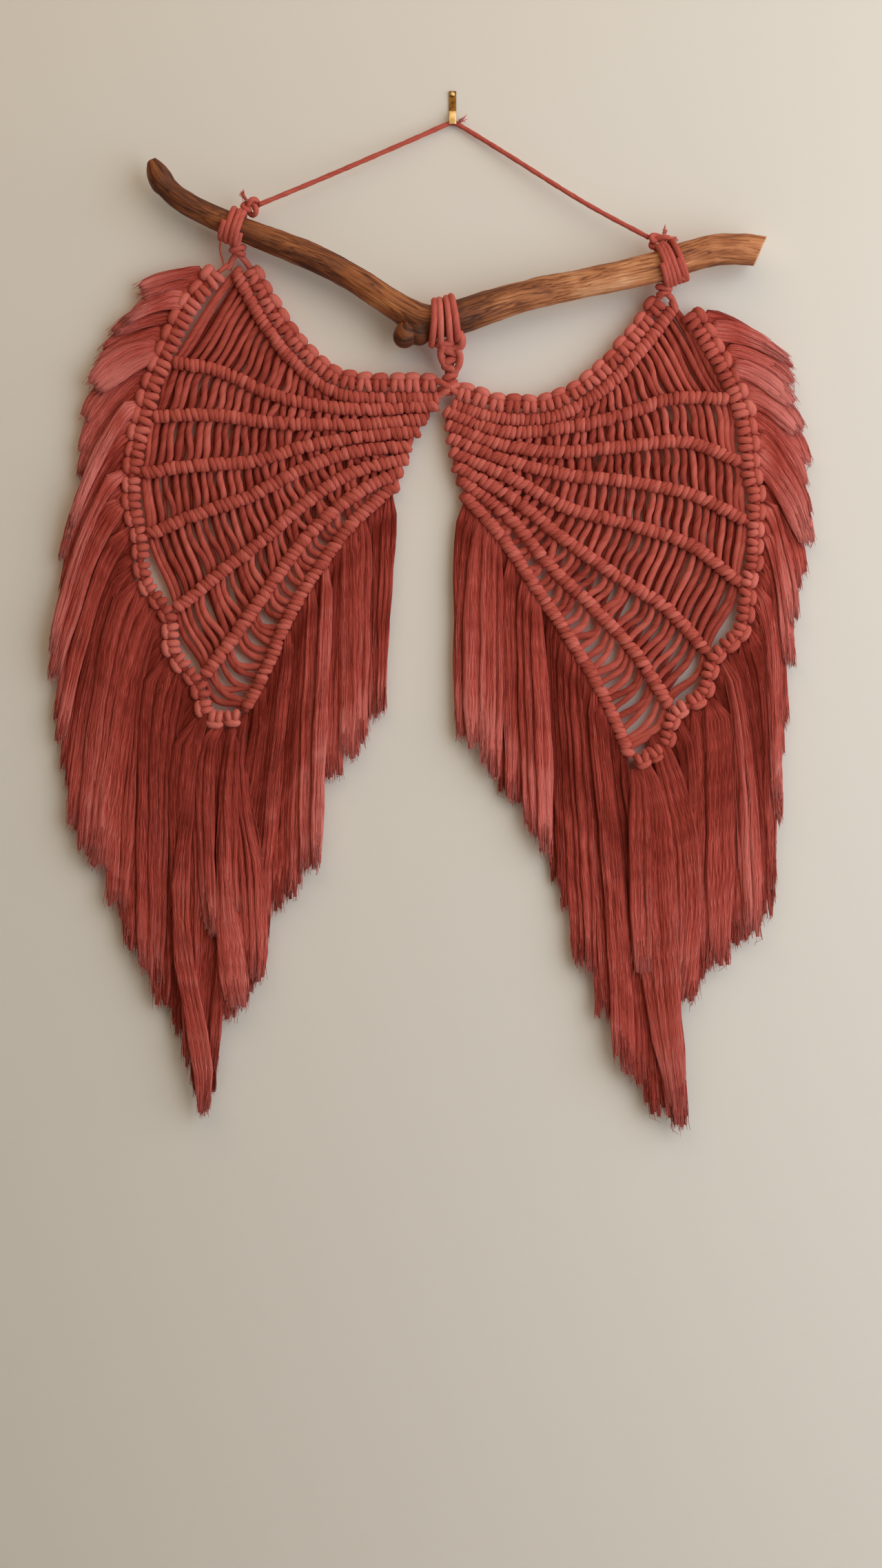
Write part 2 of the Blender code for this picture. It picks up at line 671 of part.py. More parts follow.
def build_hook():
    """A strip bent into a J: back plate on the wall, bend at the foot, lip in front."""
    line = [(0.5 * HOOK_THICK, HOOK_TOP), (0.5 * HOOK_THICK, HOOK_FOOT)]
    for i in range(1, 7):
        angle = math.pi * i / 7
        line.append((0.5 * HOOK_THICK + HOOK_BEND * (1 - math.cos(angle)),
                     HOOK_FOOT - HOOK_BEND * math.sin(angle)))
    line += [(0.5 * HOOK_THICK + 2 * HOOK_BEND, HOOK_FOOT), (0.5 * HOOK_THICK + 2 * HOOK_BEND, HOOK_LIP)]
    inner = []
    outer = []
    for i, (depth, z) in enumerate(line):
        a = line[max(i - 1, 0)]
        b = line[min(i + 1, len(line) - 1)]
        run = Vector((b[0] - a[0], b[1] - a[1])).normalized()
        side = Vector((run.y, -run.x)) * 0.5 * HOOK_THICK
        inner.append((depth - side.x, z - side.y))
        outer.append((depth + side.x, z + side.y))
    outline = inner + outer[::-1]
    half = HOOK_WIDTH / 2
    rings = [[Vector((x, -depth, z)) for depth, z in outline] for x in (-half, half)]
    count = len(outline)
    verts = rings[0] + rings[1]
    faces = []
    for s in range(count):
        t = (s + 1) % count
        faces.append((s, t, count + t, count + s))
    for i in range(len(line) - 1):
        a, b = i, i + 1
        c, d = count - 2 - i, count - 1 - i
        faces.append((b, a, d, c))
        faces.append((count + a, count + b, count + c, count + d))
    hook = add_object("wall_hook", mesh_from("wall_hook", verts, faces), "brass", BRASS)
    nail_z = HOOK_TOP - 2.6 * MM
    rings = []
    front = HOOK_THICK + GAP
    for depth, radius in ((front, NAIL_HEAD), (front + 0.8 * MM, NAIL_HEAD), (front + 1.3 * MM, NAIL_HALF)):
        rings.append([Vector((radius * math.cos(2 * math.pi * s / 10), -depth,
                              nail_z + radius * math.sin(2 * math.pi * s / 10))) for s in range(10)])
    add_object("hook_nail", mesh_from("hook_nail", *skin(rings)), "brass", BRASS)


def build_hanger():
    """The hanging cord: up from the left tie, over the hook, down to the right tie."""
    seat = 0.5 * HOOK_THICK + HOOK_BEND
    depth = BRANCH_DEPTH
    corners = [point(-140.1 * MM, -72.9 * MM, depth), point(-90 * MM, -50.5 * MM, 0.6 * depth + 0.4 * seat),
               point(-30 * MM, -23.0 * MM, 0.2 * depth + 0.8 * seat), point(-6 * MM, -11.6 * MM, seat),
               point(0, -9.8 * MM, seat), point(6 * MM, -12.2 * MM, seat),
               point(40 * MM, -34 * MM, 0.25 * depth + 0.75 * seat),
               point(95 * MM, -70 * MM, 0.65 * depth + 0.35 * seat), point(141.7 * MM, -96.7 * MM, depth)]
    path = Path(corners, steps=10)
    count = round(path.length / HANGER_STEP)
    curve = bpy.data.curves.new("hanger_cord", "CURVE")
    curve.dimensions = "3D"
    curve.bevel_depth = HANGER / 2
    curve.bevel_resolution = 2
    curve.use_fill_caps = True
    spline = curve.splines.new("POLY")
    spline.points.add(count)
    for i in range(count + 1):
        spline.points[i].co = (*path.at(path.length * i / count), 1)
    add_object("hanger_cord", curve, "cotton", COTTON)


def build():
    for obj in list(bpy.data.objects):
        bpy.data.objects.remove(obj, do_unlink=True)
    build_branch()
    build_ties()
    build_centre_loop()
    build_hook()
    build_hanger()
    for word, wing in (("left", LEFT), ("right", RIGHT)):
        neck = row_path(wing.neck, 6)
        knotted_bar(f"neckline_{word}", neck, 0, neck.length)
        edge = edge_path(wing)
        knotted_bar(f"edge_{word}", edge, 0, edge.length, pitch=EDGE_PITCH, sides=5)
        build_wing(f"wing_{word}", wing)
        out = wing.side
        reach = SINNET_HALF + STRIP_HALF + GAP + wing.hem_room * MM
        outer_hem = edge.offset(out * reach)
        build_fringe(f"outer_fringe_{word}", outer_hem, out, wing.outer_tips, OUTER_FALL)
        last, end = wing_ribs(wing)[-1]
        lower_hem = last.offset(-out * (RIB_HALF + STRIP_HALF + GAP + SEAT))
        build_fringe(f"lower_fringe_{word}", lower_hem, -out, wing.lower_tips, LOWER_FALL)


build()
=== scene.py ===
# Macrame angel wings on a driftwood branch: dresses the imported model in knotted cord, combed fringe,
# weathered wood and brass. Sizes in the dictionaries are millimetres on the wall, x to the right and z up.
import math

import bpy
import numpy as np
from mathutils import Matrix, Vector


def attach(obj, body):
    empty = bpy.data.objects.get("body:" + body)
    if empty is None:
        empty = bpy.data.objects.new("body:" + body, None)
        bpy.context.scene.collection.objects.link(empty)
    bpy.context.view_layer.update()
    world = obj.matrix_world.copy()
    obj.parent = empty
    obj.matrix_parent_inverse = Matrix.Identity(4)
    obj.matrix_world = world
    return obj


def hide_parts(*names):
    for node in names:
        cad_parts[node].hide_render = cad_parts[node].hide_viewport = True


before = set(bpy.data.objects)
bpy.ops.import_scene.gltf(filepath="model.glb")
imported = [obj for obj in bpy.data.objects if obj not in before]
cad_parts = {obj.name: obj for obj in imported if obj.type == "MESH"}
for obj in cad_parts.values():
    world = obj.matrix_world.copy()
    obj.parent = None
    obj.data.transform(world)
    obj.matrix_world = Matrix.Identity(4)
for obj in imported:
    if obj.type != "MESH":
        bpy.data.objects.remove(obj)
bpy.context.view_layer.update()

mm = 0.001
luck = np.random.default_rng(11)    # one seed for all that is uneven

cord = {
    "radius": 2.25,         # single-strand cotton, 4.5 mm
    "clothDepth": 9.0,      # middle of the knotted cloth, from the wall
    "ribHalf": 4.9,         # half height of a rib of double half hitches
    "ribCrest": 4.9,        # and half its depth
    "sinnetHalf": 5.6,      # half width of a sinnet
    "seat": 0.6,            # between two bars that lie side by side
}
clothY = -cord["clothDepth"] * mm
offWall = np.array([0, -1, 0])      # the way out from it


# lines and cord meshes

def onWall(spots, depth=None):
    # x, z in millimetres to points in metres, in the cloth's plane or so deep in front of the wall
    y = clothY if depth is None else -depth * mm
    return np.array([(x * mm, y, z * mm) for x, z in spots])


def spotAt(x, z, depth=None):
    return onWall([(x, z)], depth)[0]


def turnsOf(count):
    # the angles of so many points round a ring
    return 2 * math.pi * np.arange(count) / count


def unit(vectors):
    return vectors / np.maximum(np.linalg.norm(vectors, axis=-1, keepdims=True), 1e-9)


def smoothRun(spots, steps=16):
    # a smooth curve through a few points
    spots = np.asarray(spots, float)
    padded = np.vstack([2 * spots[:1] - spots[1:2], spots, 2 * spots[-1:] - spots[-2:-1]])
    t = np.linspace(0, 1, steps, endpoint=False)[:, None]
    runs = []
    for a, b, c, d in zip(padded, padded[1:], padded[2:], padded[3:]):
        runs.append(0.5 * (2 * b + (c - a) * t + (2 * a - 5 * b + 4 * c - d) * t ** 2
                           + (3 * b - a - 3 * c + d) * t ** 3))
    return np.vstack([*runs, spots[-1:]])


class Line:
    # a smooth line through a few points, measured along its length
    def __init__(self, spots, smooth=True):
        self.spots = smoothRun(spots) if smooth else np.asarray(spots, float)
        steps = np.linalg.norm(np.diff(self.spots, axis=0), axis=1)
        self.along = np.concatenate([[0.0], np.cumsum(steps)])
        self.length = self.along[-1]

    def at(self, distance):
        distance = np.clip(distance, 0, self.length)
        return np.stack([np.interp(distance, self.along, self.spots[:, k]) for k in range(3)], axis=-1)

    def heading(self, distance, reach=2 * mm):
        distance = np.asarray(distance, float)
        return unit(self.at(distance + reach) - self.at(distance - reach))

    def normal(self, distance):
        heading = self.heading(distance)
        return np.stack([-heading[..., 2], 0 * heading[..., 0], heading[..., 0]], axis=-1)

    def gapTo(self, spot):
        return np.linalg.norm(self.spots - spot, axis=1).min()

    def placeOf(self, spot):
        # which of the line's own points lies nearest
        return np.linalg.norm(self.spots - spot, axis=1).argmin()


class CordWork:
    # gathers swept cords, rings and threads, then makes one mesh of them
    def __init__(self):
        self.spots, self.loops, self.sizes, self.maps, self.tones, self.tips = [], [], [], [], [], []
        self.count = 0

    def sweep(self, routes, radii, sides=6, tones=0.5, reference=(0, 1, 0), closed=False, flat=1.0,
              ridged=0.0):
        # routes: cords x points x 3. A closed route is a ring. flat squeezes the cord along the reference,
        # and ridged is how unevenly its sides stand out
        routes = np.asarray(routes, float)
        if routes.ndim == 2:
            routes = routes[None]
        cords, points = routes.shape[:2]
        radii = np.broadcast_to(radii, (cords, points))
        tones = np.broadcast_to(np.reshape(tones, (-1, 1)), (cords, points))
        flat = np.broadcast_to(flat, (cords, points))
        ahead = np.roll(routes, -1, 1) - np.roll(routes, 1, 1) if closed else np.gradient(routes, axis=1)
        ahead = unit(ahead)
        across = unit(np.cross(ahead, np.asarray(reference, float)))
        facing = np.cross(across, ahead)
        angles = 2 * math.pi * (np.arange(sides) / sides + 0.25)      # the seam faces the wall
        ring = (across[:, :, None] * np.cos(angles)[:, None]
                + facing[:, :, None] * (np.sin(angles)[:, None] * flat[:, :, None, None]))
        relief = 1 + (luck.normal(0, ridged, (cords, 1, sides, 1)) if ridged else 0)
        spots = routes[:, :, None] + ring * radii[:, :, None, None] * relief

        along = np.concatenate([np.zeros((cords, 1)), np.cumsum(
            np.linalg.norm(np.diff(routes, axis=1), axis=2), axis=1)], axis=1)
        step = along[:, -1:] / (points - 1)
        rows = np.arange(points if closed else points - 1)
        nextRows = (rows + 1) % points
        turns = np.arange(sides)
        nextTurns = (turns + 1) % sides
        base = self.count + np.arange(cords) * points * sides
        quads = np.stack(np.broadcast_arrays(
            base[:, None, None] + rows[:, None] * sides + turns,
            base[:, None, None] + nextRows[:, None] * sides + turns,
            base[:, None, None] + nextRows[:, None] * sides + nextTurns,
            base[:, None, None] + rows[:, None] * sides + nextTurns), axis=-1)
        low = np.broadcast_to(along[:, rows, None], quads.shape[:3])
        high = low + step[:, :, None]
        girth = 2 * math.pi * radii.mean(1)[:, None, None]
        left = np.broadcast_to(turns / sides * girth, quads.shape[:3])
        right = np.broadcast_to((turns + 1) / sides * girth, quads.shape[:3])
        quadMaps = np.stack([np.stack([low, left], -1), np.stack([high, left], -1),
                             np.stack([high, right], -1), np.stack([low, right], -1)], axis=-2)
        self.addFaces(quads.reshape(-1, 4), quadMaps.reshape(-1, 4, 2))
        if not closed:
            first = base[:, None] + turns
            last = base[:, None] + (points - 1) * sides + turns[::-1]
            for ends, place in ((first, along[:, :1]), (last, along[:, -1:])):
                flatMap = np.stack(np.broadcast_arrays(place, np.broadcast_to(turns / sides, ends.shape)), -1)
                self.addFaces(ends, flatMap)
        self.spots.append(spots.reshape(-1, 3))
        self.tones.append(np.repeat(tones.reshape(-1), sides))
        part = along / np.maximum(along[:, -1:], 1e-9)
        self.tips.append(np.repeat(part.reshape(-1), sides))
        self.count += cords * points * sides

    def addFaces(self, faces, maps):
        self.loops.append(faces.reshape(-1))
        self.sizes.append(np.full(len(faces), faces.shape[1]))
        self.maps.append(maps.reshape(-1, 2))

    def make(self, name, finish):
        spots = np.vstack(self.spots)
        loops = np.concatenate(self.loops)
        sizes = np.concatenate(self.sizes)
        mesh = bpy.data.meshes.new(name)
        mesh.vertices.add(len(spots))
        mesh.vertices.foreach_set("co", spots.reshape(-1))
        mesh.loops.add(len(loops))
        mesh.loops.foreach_set("vertex_index", loops.astype(np.int32))
        mesh.polygons.add(len(sizes))
        mesh.polygons.foreach_set("loop_start", np.concatenate([[0], np.cumsum(sizes)[:-1]]).astype(np.int32))
        mesh.uv_layers.new(name="fibre").data.foreach_set("uv", np.vstack(self.maps).reshape(-1))
        for word, values in (("tone", self.tones), ("tip", self.tips)):
            mesh.attributes.new(word, "FLOAT", "POINT").data.foreach_set("value", np.concatenate(values))
        mesh.update(calc_edges=True)
        mesh.shade_smooth()
        mesh.materials.append(finish)
        made = bpy.data.objects.new(name, mesh)
        bpy.context.scene.collection.objects.link(made)
        return made


def dress(piece, *nodes, slot="cotton"):
    # the piece stands for these CAD nodes, on the one body there is
    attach(piece, "root")
    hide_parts(*nodes)
    triangles = sum(len(face.vertices) - 2 for face in piece.data.polygons)
    print(f"{piece.name}: {triangles} triangles")


# finishes

def newFinish(name):
    made = bpy.data.materials.new(name)
    made.use_nodes = True
    tree = made.node_tree
    return made, tree, tree.nodes["Principled BSDF"]


def addNode(tree, kind, **values):
    node = tree.nodes.new(kind)
    for key, value in values.items():
        if hasattr(node, key):
            setattr(node, key, value)
        else:
            node.inputs[key].default_value = value
    return node


def mathNode(tree, operation, first, second=None, third=None):
    node = addNode(tree, "ShaderNodeMath", operation=operation)
    for i, value in enumerate((first, second, third)):
        if value is None:
            continue
        if isinstance(value, (int, float)):
            node.inputs[i].default_value = value
        else:
            tree.links.new(value, node.inputs[i])
    return node.outputs[0]


def stripes(tree, along, around, alongScale, aroundScale, detail=2.0, wavy=0.0):
    # noise drawn out along the fibres
    lay = addNode(tree, "ShaderNodeCombineXYZ")
    tree.links.new(mathNode(tree, "MULTIPLY", along, alongScale), lay.inputs[0])
    tree.links.new(mathNode(tree, "MULTIPLY", around, aroundScale), lay.inputs[1])
    noise = addNode(tree, "ShaderNodeTexNoise", Detail=detail, Scale=1.0, Distortion=wavy)
    tree.links.new(lay.outputs[0], noise.inputs["Vector"])
    return noise.outputs["Fac"]


def fade(tree, value, stops):
    # places and colours along a ramp
    ramp = addNode(tree, "ShaderNodeValToRGB")
    while len(ramp.color_ramp.elements) < len(stops):
        ramp.color_ramp.elements.new(0.5)
    for element, (place, colour) in zip(ramp.color_ramp.elements, stops):
        element.position = place
        element.color = (*colour, 1)
    tree.links.new(value, ramp.inputs[0])
    return ramp.outputs[0]


def fromTo(tree, value, low, high):
    # 0 at the low value, 1 at the high one
    node = addNode(tree, "ShaderNodeMapRange")
    node.inputs["From Min"].default_value = low
    node.inputs["From Max"].default_value = high
    tree.links.new(value, node.inputs["Value"])
    return node.outputs[0]


def linear(*hexes):
    # colours as seen, in the shader's own units
    made = []
    for text in hexes:
        seen = [int(text[i:i + 2], 16) / 255 for i in (0, 2, 4)]
        made.append(tuple(c / 12.92 if c < 0.04045 else ((c + 0.055) / 1.055) ** 2.4 for c in seen))
    return made


knottedLook = {
    "shades": linear("7C2C22", "AF5347", "D1796E"),
    "lay": 0.75,            # how far the fibres turn round the cord for their run along it
    "streaks": (0.45, 0.5), # how strongly fine and broad ones colour it
    "bump": 0.45,
    "wavy": 0.3,
    "crinkle": 0.0,
    "paintedTipLight": 0.0,
}
combedLook = {
    "shades": linear("6E2319", "AF493E", "D47C74"),
    "lay": 0.0,
    "streaks": (1.5, 0.8),
    "bump": 0.9,
    "wavy": 0.25,
    "crinkle": 0.0016,      # how far the fibres waver sideways, in metres
    "paintedTipLight": 0.42,       # painted light: how much lighter the cut ends are made, for light shining through their thin fibres
}


def cottonFinish(name, look):
    made, tree, shader = newFinish(name)
    fibre = addNode(tree, "ShaderNodeUVMap", uv_map="fibre")
    split = addNode(tree, "ShaderNodeSeparateXYZ")
    tree.links.new(fibre.outputs[0], split.inputs[0])
    along, around = split.outputs[0], split.outputs[1]
    if look["lay"]:
        around = mathNode(tree, "ADD", around, mathNode(tree, "MULTIPLY", along, look["lay"]))
    if look["crinkle"]:
        crinkle = stripes(tree, along, around, 120.0, 110.0, 1.0)
        around = mathNode(tree, "MULTIPLY_ADD", crinkle, look["crinkle"], around)
    fine = stripes(tree, along, around, 70.0, 2700.0, 3.0, look["wavy"])
    broad = stripes(tree, along, around, 25.0, 620.0)
    tone = addNode(tree, "ShaderNodeAttribute", attribute_name="tone").outputs["Fac"]
    fineShare, broadShare = look["streaks"]
    streaks = mathNode(tree, "MULTIPLY_ADD", fine, fineShare, mathNode(tree, "MULTIPLY", broad, broadShare))
    shade = mathNode(tree, "ADD", tone, mathNode(tree, "SUBTRACT", streaks, 0.5 * (fineShare + broadShare)))
    # painted light: the cut ends are made lighter towards the tip
    if look["paintedTipLight"]:
        tip = addNode(tree, "ShaderNodeAttribute", attribute_name="tip").outputs["Fac"]
        shade = mathNode(tree, "MULTIPLY_ADD", mathNode(tree, "POWER", tip, 2.5), look["paintedTipLight"], shade)
    dark, middle, light = look["shades"]
    stops = [(0.1, dark), (0.5, middle), (0.95, light)]
    tree.links.new(fade(tree, shade, stops), shader.inputs["Base Color"])
    bump = addNode(tree, "ShaderNodeBump", Strength=look["bump"], Distance=0.0007)
    tree.links.new(streaks, bump.inputs["Height"])
    tree.links.new(bump.outputs[0], shader.inputs["Normal"])
    shader.inputs["Roughness"].default_value = 0.95
    shader.inputs["Specular IOR Level"].default_value = 0.08
    shader.inputs["Sheen Weight"].default_value = 0.07
    shader.inputs["Sheen Roughness"].default_value = 0.6
    shader.inputs["Sheen Tint"].default_value = (*linear("D67C6E")[0], 1)
    return made


knottedCotton = cottonFinish("knottedCotton", knottedLook)
combedCotton = cottonFinish("combedCotton", combedLook)


# the two wings' lines, as in the solids

leftWing = {
    "side": -1,
    "strands": 30,
    "wraps": 50,            # of the hitches on each rib
    "neck": [(-10.4, -200), (-46, -200), (-80, -197), (-107, -177), (-128, -150), (-146.5, -116)],
    "edgeTop": (-170, -119),
    # each rib from its root to the outer edge, and how far the edge bows out in the bay above it
    "ribs": [
        ([(-12, -216), (-52, -219), (-93, -217), (-132, -208), (-170, -191), (-211, -184)], 5),
        ([(-20, -226), (-59, -230), (-99, -230), (-138, -228), (-178, -223), (-225, -225)], 2),
        ([(-25, -235), (-66, -239), (-107, -246), (-146, -257), (-188, -260), (-233, -267)], 1),
        ([(-32, -246), (-73, -250), (-110, -263), (-147, -282), (-185, -295), (-228, -313)], 2),
        ([(-33, -255), (-72, -265), (-107, -287), (-138, -314), (-170, -339), (-207, -369)], 7),
        ([(-38, -264), (-75, -284), (-107, -313), (-133, -348), (-158, -383), (-185, -419)], 7),
        ([(-43, -275), (-73, -302), (-97, -334), (-118, -368), (-134, -405), (-153, -443)], 14),
    ],
    "sag": [0, 0, 0, 0, 0.5, 2.5, 4.5],     # how far the strands of each bay droop
}
rightWing = {
    "side": 1,
    "strands": 32,
    "wraps": 54,
    "neck": [(3, -205), (32, -214), (69, -214), (102, -196), (128, -169), (150, -140)],
    "edgeTop": (171, -148),
    "ribs": [
        ([(-6, -220), (34, -235), (77, -233), (120, -224), (162, -211), (208, -212)], 2),
        ([(-5, -230), (36, -245), (81, -250), (126, -246), (171, -243), (216, -261)], 2),
        ([(-3, -240), (39, -256), (85, -267), (131, -272), (176, -282), (220, -304)], 2),
        ([(-1, -250), (42, -269), (84, -291), (130, -303), (175, -319), (214, -351)], 2),
        ([(1, -260), (42, -283), (78, -311), (116, -338), (155, -364), (190, -401)], 8),
        ([(5, -270), (41, -298), (70, -332), (103, -364), (134, -398), (161, -441)], 8),
        ([(8, -281), (37, -314), (62, -351), (87, -389), (110, -429), (131, -477)], 9),
    ],
    "sag": [0, 0, 0, 0, 0.5, 2.5, 4.5],
}


def edgeLine(wing):
    # the outer edge, from its top past the end of each rib, bowed out in every bay
    anchors = onWall([wing["edgeTop"]] + [rib[-1] for rib, bow in wing["ribs"]])
    spots = [anchors[0]]
    for (rib, bow), above, below in zip(wing["ribs"], anchors, anchors[1:]):
        run = unit(below - above)
        outward = np.array([-run[2], 0, run[0]]) * wing["side"]
        spots += [(above + below) / 2 + outward * bow * mm, below]
    return Line(spots)


def wingRibs(wing):
    # every rib's line, the first one beside the neckline, and how far it runs before the edge sinnet
    neck = Line(onWall(wing["neck"]))
    edge = edgeLine(wing)
    reach = (cord["sinnetHalf"] + cord["ribHalf"] + cord["seat"]) * mm
    places = np.linspace(0, neck.length, 40)
    first = neck.at(places) - neck.normal(places) * wing["side"] * reach
    first = np.vstack([first, first[-1:] + neck.heading(neck.length) * 3.5 * mm])
    lines = [Line(first, smooth=False)] + [Line(onWall(rib)) for rib, bow in wing["ribs"]]
    clear = (cord["sinnetHalf"] + 0.35) * mm
    ribs = []
    for line in lines:
        end = line.length
        while edge.gapTo(line.at(end)) < clear + 2 * mm:
            end -= 0.5 * mm
        ribs.append((line, end))
    return ribs


# ribs, strands and sinnets

hitch = {
    "around": 12,           # points round one wrap
    "sides": 6,
    "thick": 2.2,           # half thickness of a wrap
    "lean": 0.8,            # how far a wrap's top lies ahead of its foot
    "uneven": 0.3,          # in their places along the rib
    "pressed": (1.2, 1.6),  # their width, for the room that each one has
    "tones": (0.3, 0.65),
    "core": 3.0,            # radius of the cord that they are tied round
}


def addWraps(work, line, end, count, lean):
    # a rib's double half hitches: wraps of cord, side by side
    places = (np.arange(count) + 0.5) * end / count + luck.normal(0, hitch["uneven"] * mm, count)
    middles = line.at(places) + luck.normal(0, 0.22 * mm, (count, 3))
    ups = line.normal(places)
    runs = line.heading(places)
    angles = turnsOf(hitch["around"])
    swell = 1 + luck.normal(0, 0.06, (count, 1, 1))
    high = (cord["ribHalf"] + 0.2 - hitch["thick"]) * mm * swell
    deep = (cord["ribCrest"] - hitch["thick"]) * mm * swell
    tilt = (lean + luck.normal(0, 0.6, (count, 1, 1))) * mm
    routes = (middles[:, None] + ups[:, None] * np.cos(angles)[:, None] * high
              + offWall * np.sin(angles)[:, None] * deep + runs[:, None] * np.cos(angles)[:, None] * tilt)
    half = end / count / 2 * luck.uniform(*hitch["pressed"], count)
    for i in range(count):
        work.sweep(routes[i], hitch["thick"] * mm, hitch["sides"], luck.uniform(*hitch["tones"]), runs[i],
                   closed=True, flat=half[i] / (hitch["thick"] * mm))
    work.sweep(line.at(np.linspace(0, end + 3 * mm, 60)), hitch["core"] * mm, 6, 0.3)


strand = {
    "behind": 3.0,          # of the ribs' middle, so that the ribs stand proud
    "forward": 1.5,         # how far its middle may come forward again
    "sway": 0.7,
    "swing": 1.2,           # its bend in an S
    "loosened": 0.22,       # more bend for each millimetre that its bay droops
    "tones": (0.18, 0.55),
    "plump": (1.02, 1.28),  # size of its middle, where nothing holds it
    "end": 0.72,
    "shortest": 9.5,        # run between two ribs that shows any strand
}
under = {                   # painted shade: dark strands behind the strands, standing in for the shaded wall seen in their gaps
    "behind": 5.2,
    "size": 0.7,
    "tone": 0.1,
    "mostSag": 3,           # a bay that droops more shows none
}


def addPaintedShadeStrands(work, wing, upper, lower):
    # painted shade: dark strands laid behind the strands of a bay that hardly droops, for the shaded wall
    # between them
    (topLine, topEnd), (lowLine, lowEnd) = upper, lower
    t = np.linspace(0, 1, 5)[:, None]
    for share in np.arange(1, wing["strands"]) / wing["strands"]:
        start, finish = topLine.at(topEnd * share), lowLine.at(lowEnd * share)
        if np.linalg.norm(finish - start) < strand["shortest"] * mm:
            continue
        route = start + (finish - start) * t - offWall * under["behind"] * mm
        work.sweep(route, cord["radius"] * under["size"] * mm * luck.uniform(0.8, 1.1), 6,
                   under["tone"] + luck.normal(0, 0.1))


def addStrands(work, wing, upper, lower, sag):
    # the strands of one bay: each leaves a rib's foot, swells where nothing holds it and is a bit crooked
    count = wing["strands"]
    t = np.linspace(0, 1, 12)[:, None]
    (topLine, topEnd), (lowLine, lowEnd) = upper, lower
    loose = 1 + strand["loosened"] * sag
    shares = np.append((np.arange(count) + 0.5) / count, 1.0)
    for share in shares:
        start = topLine.at(topEnd * share)
        finish = lowLine.at(lowEnd * share)
        run = finish - start
        if np.linalg.norm(run) < strand["shortest"] * mm:
            continue
        side = unit(np.array([-run[2], 0, run[0]])) * wing["side"]
        arch = np.sin(math.pi * t)
        swing = (strand["swing"] + luck.normal(0, 0.6)) * loose
        bend = luck.normal(0, strand["sway"]) * loose * arch + swing * np.sin(2 * math.pi * t)
        route = start + run * t + side * bend * mm
        route = route + np.array([0, 0, -1]) * arch * sag * mm * (0.6 + share)
        route = route - offWall * (strand["behind"] - luck.uniform(0, strand["forward"]) * arch) * mm
        swell = luck.uniform(*strand["plump"]) - strand["end"]
        plump = strand["end"] + swell * arch[:, 0] ** 0.7
        work.sweep(route, cord["radius"] * mm * plump * (1 + luck.normal(0, 0.03, 12)), 9,
                   luck.uniform(*strand["tones"]), ridged=0.05)


larksHead = {
    "deep": 5.8,            # half depth of a knot
    "wrap": 3.1,            # half thickness of its two wraps
    "apart": 0.215,         # of the pitch, from the knot's middle to either wrap
    "bar": 3.1,             # half thickness of the loop that lies along the outer side
    "barLength": 0.40,      # of the pitch, to either side of the knot's middle
    "tones": (0.35, 0.7),
    "core": 3.0,
    # the pitch of its knots, and their half width at its top and further down
    "neck": (11.8, 7.4, 7.2),
    "edge": (12.4, 8.2, 6.7),
}


def addLarksHeads(work, line, side, pitch, topHalf, lowHalf):
    # a sinnet of lark's heads: two wraps round the core and a bar along the outer side, for each knot
    start, end = 1 * mm, line.length - 1 * mm
    knots = round((end - start) / (pitch * mm))
    step = (end - start) / knots
    angles = turnsOf(12)
    t = np.linspace(-1, 1, 9)
    for k in range(knots):
        middle = start + (k + 0.5 + luck.normal(0, 0.04)) * step
        half = np.interp((k + 0.5) / knots, [0, 0.25, 0.45], [topHalf, topHalf, lowHalf])
        half = half * luck.uniform(0.94, 1.06)
        tone = luck.uniform(*larksHead["tones"])
        shift = luck.normal(0, 0.3)
        for turn in (-1, 1):
            place = middle + turn * larksHead["apart"] * step
            up = line.normal(place) * side
            run = line.heading(place)
            wide = half - larksHead["wrap"] - 1.2
            route = (line.at(place) + up * ((np.cos(angles) * wide - 1.7 + shift) * mm)[:, None]
                     + offWall * (np.sin(angles) * (larksHead["deep"] - larksHead["wrap"]) * mm)[:, None]
                     - run * (np.cos(angles) * (0.6 * turn + luck.normal(0, 0.4)) * mm)[:, None])
            work.sweep(route, larksHead["wrap"] * mm * luck.uniform(0.92, 1.06), 7, tone, run, closed=True,
                       flat=0.92)
        places = middle + t * larksHead["barLength"] * step
        lean = luck.normal(0, 0.5)
        beside = half - larksHead["bar"] - 1.4 * t ** 4 + lean * t + shift
        route = (line.at(places) + line.normal(places) * side * (beside * mm)[:, None]
                 + offWall * ((1.5 - 2.8 * t ** 4) * mm)[:, None])
        size = larksHead["bar"] * half / 6.6 * mm
        work.sweep(route, size * (1 - 0.42 * t ** 4) * luck.uniform(0.92, 1.08), 9, tone + 0.05, ridged=0.04)
    work.sweep(line.at(np.linspace(start, end, 4 * knots + 2)), larksHead["core"] * mm, 6, 0.25)


def buildWing(word, wing):
    work = CordWork()
    ribs = wingRibs(wing)
    for line, end in ribs:
        addWraps(work, line, end, wing["wraps"], hitch["lean"] * wing["side"])
    for upper, lower, sag in zip(ribs, ribs[1:], wing["sag"]):
        addStrands(work, wing, upper, lower, sag)
        # painted shade in the gaps of the bays that hardly droop
        if sag < under["mostSag"]:
            addPaintedShadeStrands(work, wing, upper, lower)
    dress(work.make(f"knotted_wing_{word}", knottedCotton), f"wing_{word}")

    sinnets = (("neck", f"neckline_{word}", Line(onWall(wing["neck"]))),
               ("edge", f"edge_{word}", edgeLine(wing)))
    for kind, node, line in sinnets:
        work = CordWork()
        addLarksHeads(work, line, wing["side"], *larksHead[kind])
        dress(work.make(f"{kind}_knots_{word}", knottedCotton), node)


for word, wing in (("left", leftWing), ("right", rightWing)):
    buildWing(word, wing)
print("wings, necklines and edges are knotted")


# fringe

